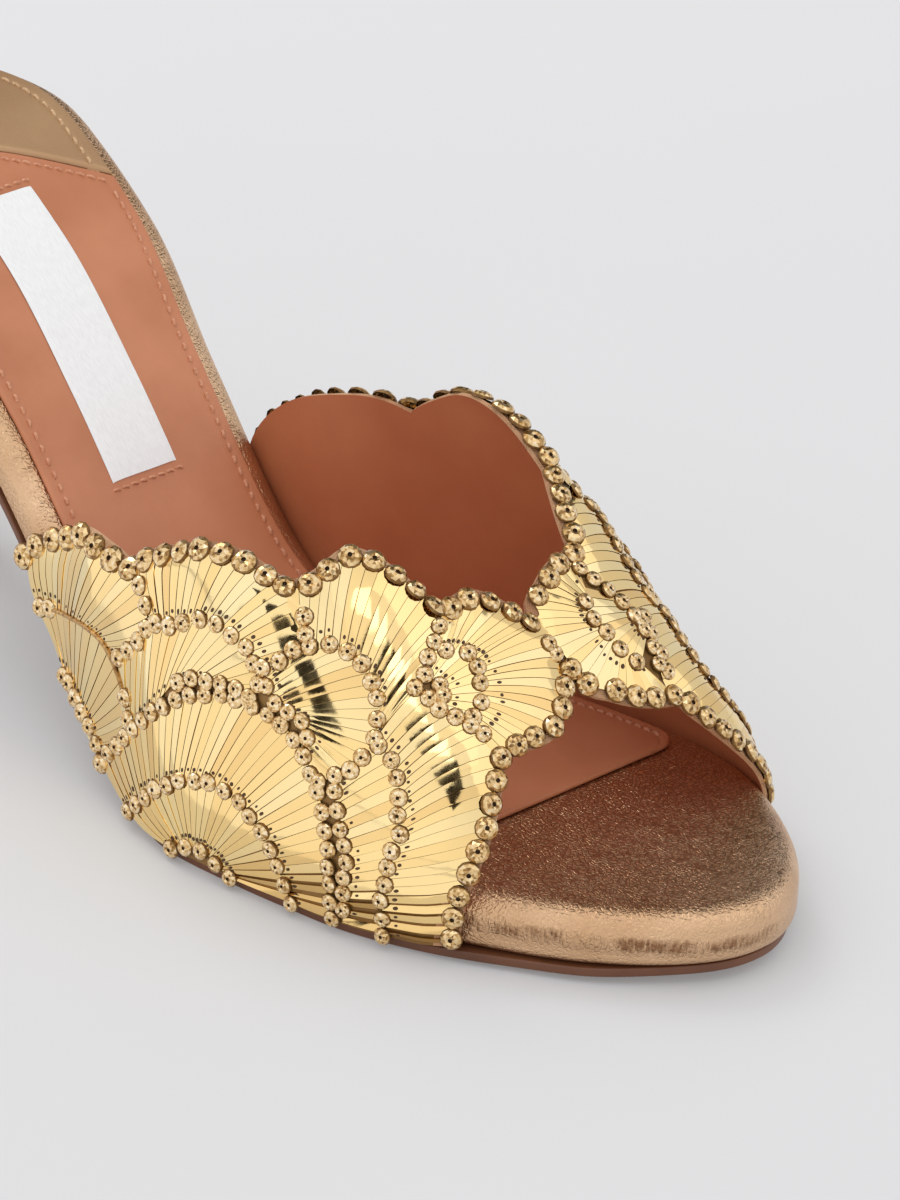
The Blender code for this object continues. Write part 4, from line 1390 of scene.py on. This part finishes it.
# %% Join the stones
stone_at, stone_up, stone_radius = map(np.concatenate, (stone_at, stone_up, stone_size))
spin = chance.uniform(0, 2 * math.pi, len(stone_at))
ahead = np.stack([np.cos(spin), np.sin(spin), np.zeros(len(spin))], -1)
sizes = np.stack([stone_radius, stone_radius, stone_radius * 0.9], -1) * MM
stone = (stone_points, stone_faces)
stones = set_down("glass_stones", stone, stone_at, stone_up, ahead, sizes, stone_glass, smooth=False)
stones.data.materials.append(dark_hole_shade)
stones.data.materials.append(stone_setting)
stones.data.polygons.foreach_set("material_index", np.tile(np.array(stone_slots, np.int32), len(stone_at)))
facet_tone = stones.data.attributes.new("facet_tone", "FLOAT", "FACE")
facets = 0.06 + 0.55 * chance.beta(1.5, 1.2, (len(stone_at), len(stone_faces)))
facets[small_count:] -= 0.09  # the edge stones are a little deeper in colour
facet_tone.data.foreach_set("value", facets.ravel().astype(np.float32))
stones.data.update()
print("small stones:", small_count, "edge stones:", len(stone_at) - small_count)

# %% [markdown]
# ## Thread
# The sock and the heel panel are sewn before they are glued, with fine polyester thread: a pink-brown
# one in the sock and a gold-tan one in the panel. A stitch is a short round bar whose ends dive into
# the leather. It is a bent capsule here, set down every 1.85 mm along the sewing line.

# %% The stitch
SPUN = {"Roughness": 0.55, "Sheen_Weight": 0.3}
sewing_thread = two_tone("pink_brown_polyester_thread", "#BC7650", "#DC9E78", 2200.0, relief=0.05, **SPUN)
panel_thread = two_tone("gold_tan_polyester_thread", "#BE966C", "#DCBA92", 2200.0, Roughness=0.5)
STITCH_PITCH = 1.85 * MM
STITCH_LENGTH = 1.72 * MM
STITCH_WIDTH = 0.6 * MM
body = np.linspace(-1, 1, 9)[:, None]
turns = np.linspace(0, 2 * math.pi, 8, endpoint=False)
thick = np.sqrt(np.clip(1 - body**6, 0.0, 1))
bent = thick * np.sin(turns) + 0.3 - 0.9 * body**2
stitch_points = np.stack(np.broadcast_arrays(body, thick * np.cos(turns), bent), -1).reshape(-1, 3)
stitch = (stitch_points, grid_faces(9, 8, wrap=True))


def sew(name, line, levels, material=sewing_thread):
    """Stitches along a line of (s, t) in metres, with the sheet's height at any (s, t)."""
    run = line / MM
    count = int(lengths(run)[-1] * MM / STITCH_PITCH)
    f = (np.arange(count) + 0.5) / count
    spots = along_run(run, f) * MM
    before = along_run(run, np.clip(f - 0.3 / count, 0, 1)) * MM
    after = along_run(run, np.clip(f + 0.3 / count, 0, 1)) * MM
    points, low, high = (place(q[:, 0], q[:, 1], levels(q[:, 0], q[:, 1])) for q in (spots, before, after))
    ahead = unit(high - low)
    side = np.cross(ahead, np.array([0.0, 0.0, 1.0]))
    up = np.cross(side, ahead)
    ahead = ahead + 0.2 * side  # a sewn stitch lies a little askew
    sizes = np.tile(np.array([STITCH_LENGTH, STITCH_WIDTH, STITCH_WIDTH]) / 2, (count, 1))
    sizes[:, 0] *= chance.uniform(0.93, 1.07, count)
    set_down(name, stitch, points, up, ahead, sizes, material)


def sock_surface(s, t):
    """Where the thread lies on the sock, a little sunk."""
    return bed_level(s) + SOCK - 0.02 * MM + sock_waves(s, t)


def panel_surface(s, t):
    return bed_level(s) + SOCK - 0.03 * MM


print("points in a stitch:", len(stitch_points))

# %% [markdown]
# ### Sewing lines
# The sock is sewn along its two sides and just in front of its seam with the heel panel, in one
# line that turns round at the corners. The heel panel is sewn round its back.

# %% Sew the sock and the heel panel
SEWN_FROM = 39.0 * MM
for name, side in (("sock_side_stitches_outer", -1), ("sock_side_stitches_inner", 1)):
    line = side_line(side, SOCK_INSET + STITCH_INSET, SEWN_FROM, SOCK_FRONT - 3 * MM, 120)
    sew(name, np.stack(line, -1), sock_surface)
seam_half = half_width(SEWN_FROM) - SOCK_INSET - STITCH_INSET
seam_t = middle(SEWN_FROM) + np.linspace(-1, 1, 60) * seam_half
seam_run = np.stack([seam_station(seam_t) + SEAM_STITCH / SEAM_SQUARE, seam_t], -1)
sew("sock_seam_stitches", seam_run, sock_surface)
run_s = np.linspace(SOCK_INSET + PANEL_STITCH, 34 * MM, 200)
run_half = np.maximum(panel_reach(run_s) - PANEL_STITCH, 0)
run_s, run_half = run_s[run_half > 0], run_half[run_half > 0]
outer_panel, inner_panel = (np.stack([run_s, middle(run_s) + side * run_half], -1) for side in (-1, 1))
panel_run = np.concatenate([outer_panel[::-1], inner_panel])
panel_run = panel_run[panel_run[:, 0] < seam_station(panel_run[:, 1]) - 1.0 * MM]
sew("heel_panel_stitches", panel_run, panel_surface, panel_thread)

# %% [markdown]
# ## Blank label
# A woven satin label is sewn on the sock by its two short ends. It carries nothing. It is a thin
# sheet laid on the leather, so it follows the sock's slope, and its satin is fine threads that float
# along it: a noise drawn out lengthwise, a quarter of a millimetre wide so that it shows.

# %% Weave the satin
label_satin, tree, shader = new_material("white_woven_satin", Roughness=0.42, Sheen_Weight=0.5)
where = add(tree, "ShaderNodeTexCoord").outputs["Object"]
drawn = add(tree, "ShaderNodeMapping", {"Vector": where, "Scale": (1.0, 0.2, 0.2)}).outputs["Vector"]
floats = add(tree, "ShaderNodeTexNoise", {"Vector": drawn, "Scale": 3600.0, "Detail": 1.0}).outputs["Fac"]
tuck = add(tree, "ShaderNodeBump", {"Height": floats, "Distance": 0.02 * MM, "Strength": 0.5})
label_tone = add(tree, "ShaderNodeValToRGB", {"Fac": floats}, ((0.3, "#EDEDEC"), (0.7, "#F6F6F5")))
wire(shader, Base_Color=label_tone.outputs["Color"], Normal=tuck.outputs["Normal"])
print("nodes in the satin:", len(tree.nodes))

# %% Lay the label
LABEL_WIDTH = 13.8 * MM
LABEL_START = 34.2 * MM
LABEL_END = 77.0 * MM
LABEL_ASIDE = -0.5 * MM
label_s = np.linspace(LABEL_START, LABEL_END, 90)[:, None]
label_x = np.linspace(-0.5, 0.5, 30)[None, :]
label_t = middle(label_s) + LABEL_ASIDE + label_x * LABEL_WIDTH
edge_lift = 0.16 * MM * (1 - (2 * abs(label_x)) ** 12)
end_fall = np.minimum(label_s - LABEL_START, LABEL_END - label_s) / (1.5 * MM)
puff = 0.18 * MM * np.clip(end_fall, 0, 1) * (0.7 + 0.3 * np.sin(label_s / (6.5 * MM)))
label_level = bed_level(label_s) + SOCK + sock_waves(label_s, label_t) + 0.04 * MM
label_grid = place(label_s, label_t, label_level + edge_lift + puff)
label = new_piece("woven_label", label_grid, grid_faces(90, 30), [label_satin])
LABEL_ROWS = (("label_stitches_back", LABEL_START - 1.2 * MM), ("label_stitches_front", LABEL_END + 1.0 * MM))
for name, at in LABEL_ROWS:
    row_t = middle(at) + LABEL_ASIDE + np.linspace(-0.56, 0.56, 20) * LABEL_WIDTH
    sew(name, np.stack([np.full(20, at), row_t], -1), sock_surface)

# %% [markdown]
# ## Floor, light and camera
# The shoe stands on pale paper in a bright room, whose walls are brighter on the shoe's outer side.
# The paper is lit from below as on a light table, and so glows a little. Mirror film shows what is
# round it, so the lights are broad panels: one overhead, one just over the floor on the outer side
# that shines up, one in front on the inner side, and one over the heel. A small one, high before the
# toe, gives the leather rim there its highlight.

# %% Set the floor and the room
GLOW = {"Emission_Color": colour("#FFFFFF"), "Emission_Strength": 0.17}
MATT = {"Roughness": 0.85, "Specular_IOR_Level": 0.1}
paper = two_tone("pale_studio_paper", "#C0C0C1", "#C4C4C5", 8.0, ends=(0.0, 1.0), **MATT, **GLOW)
REACH = 4.0
floor_corners = [(-REACH, -REACH), (REACH, -REACH), (REACH, REACH), (-REACH, REACH)]
stand("floor", flat_mesh("floor", floor_corners, paper))
world = bpy.data.worlds.new("studio")
world.use_nodes = True
tree = world.node_tree
toward = add(tree, "ShaderNodeTexCoord").outputs["Generated"]
from_outer = add(tree, "ShaderNodeSeparateXYZ", {"Vector": toward}).outputs["X"]
side_share = add(tree, "ShaderNodeMapRange", {"Value": from_outer, "From Min": -1.0}).outputs["Result"]
WALL_STOPS = ((0.0, "#FFFFFF"), (0.3, "#F2F2F3"), (0.55, "#E6E6E7"), (0.75, "#E0E0E2"), (1.0, "#D2D2D5"))
walls = add(tree, "ShaderNodeValToRGB", {"Fac": side_share}, WALL_STOPS)
tree.links.new(walls.outputs["Color"], tree.nodes["Background"].inputs["Color"])
tree.nodes["Background"].inputs["Strength"].default_value = 1.05
bpy.context.scene.world = world
print("floor: %.0f m wide" % (2 * REACH))


# %% Hang the lights
def panel_light(name, at, toward, size, power):
    """A broad soft light that looks at a point. Its sides are in metres, its power in watts."""
    lamp = bpy.data.lights.new(name, "AREA")
    lamp.shape = "RECTANGLE"
    lamp.size, lamp.size_y = size
    lamp.energy = power
    holder = stand(name, lamp)
    holder.location = at
    holder.rotation_euler = (Vector(toward) - Vector(at)).to_track_quat("-Z", "Y").to_euler()


panel_light("panel_over", (-0.1, -0.25, 1.3), (0, 0, 0), (1.5, 1.5), 0.6)
panel_light("panel_low_outer", (-0.66, 0.35, 0.001), (-0.66, 0.35, 1.0), (1.2, 1.2), 1.1)
bpy.data.objects["panel_low_outer"].visible_camera = False
panel_light("panel_toe_rim", (-0.42, -0.485, 1.06), (0, -0.05, 0.01), (0.3, 0.3), 0.3)
panel_light("panel_inner_front", (0.45, -0.6, 0.9), (0, 0, 0.03), (1.1, 1.1), 1.2)
panel_light("panel_heel_over", (0.1, 0.9, 1.0), (0, 0.03, 0.03), (0.7, 0.7), 4.0)
print("lights:", len(bpy.data.lights))

# %% [markdown]
# ### Black cards
# A mirror in an all-white room looks flat. A studio puts black cards just out of view, so that dark
# slivers run over the metal. They are plain planes that only reflections see. A big one beyond the
# heel's inner side makes the flat foil leather of the toe look bronze, while its rim, which bends
# away, stays bright. Three small ones, each spun in its own plane, darken part of one fan each.

# %% Set the cards
card_black, tree, shader = new_material("matt_black_card", Roughness=0.9)
felt = add(tree, "ShaderNodeTexNoise", {"Scale": 40.0}).outputs["Fac"]
felt_tone = add(tree, "ShaderNodeValToRGB", {"Fac": felt}, ((0.0, "#1E1A14"), (1.0, "#2A251C")))
wire(shader, Base_Color=felt_tone.outputs["Color"])
CARD_AWAY = 1.2  # m
MIRROR_MIDDLE = Vector((0, -0.03, 0.02))


def black_card(name, turn, height, width, tall, spin=0.0):
    """A card at a compass turn and height, some degrees wide and tall, spun in its own plane."""
    turn, height = math.radians(turn), math.radians(height)
    flat = math.cos(height)
    toward = Vector((math.sin(turn) * flat, math.cos(turn) * flat, math.sin(height)))
    w, h = (CARD_AWAY * math.tan(math.radians(x / 2)) for x in (width, tall))
    c, s = math.cos(math.radians(spin)), math.sin(math.radians(spin))
    corners = [(x * c - y * s, x * s + y * c) for x, y in ((-w, -h), (w, -h), (w, h), (-w, h))]
    card = stand(name, flat_mesh(name, corners, card_black))
    card.location = toward * CARD_AWAY + MIRROR_MIDDLE
    card.rotation_euler = (-toward).to_track_quat("Z", "Y").to_euler()
    card.visible_camera = card.visible_diffuse = card.visible_shadow = False


black_card("card_behind_toe", 46, 42, 58, 56)
black_card("card_second_fan", -90, 19, 13, 8, -40)
black_card("card_third_fan", -82, 4, 9, 6, -42)
black_card("card_toe_fan", -143, 44, 20, 9, -29)

# %% [markdown]
# ### The camera
# A long lens from the shoe's outer toe side, half a metre up, looks down at 29 degrees. It is rolled
# by three degrees.

# %% Place the camera
lens = bpy.data.cameras.new("camera")
lens.sensor_fit = "VERTICAL"
lens.sensor_height = 36.0
lens.lens = 199.46
lens.clip_start = 0.01
camera = stand("camera", lens)
camera.location = (-0.65793, -0.66769, 0.53184)
camera.rotation_euler = [math.radians(a) for a in (62.192, -2.766, -43.356)]
bpy.context.scene.camera = camera
bpy.context.scene.view_settings.view_transform = "Standard"
print("camera: %.2f m away" % camera.location.length)
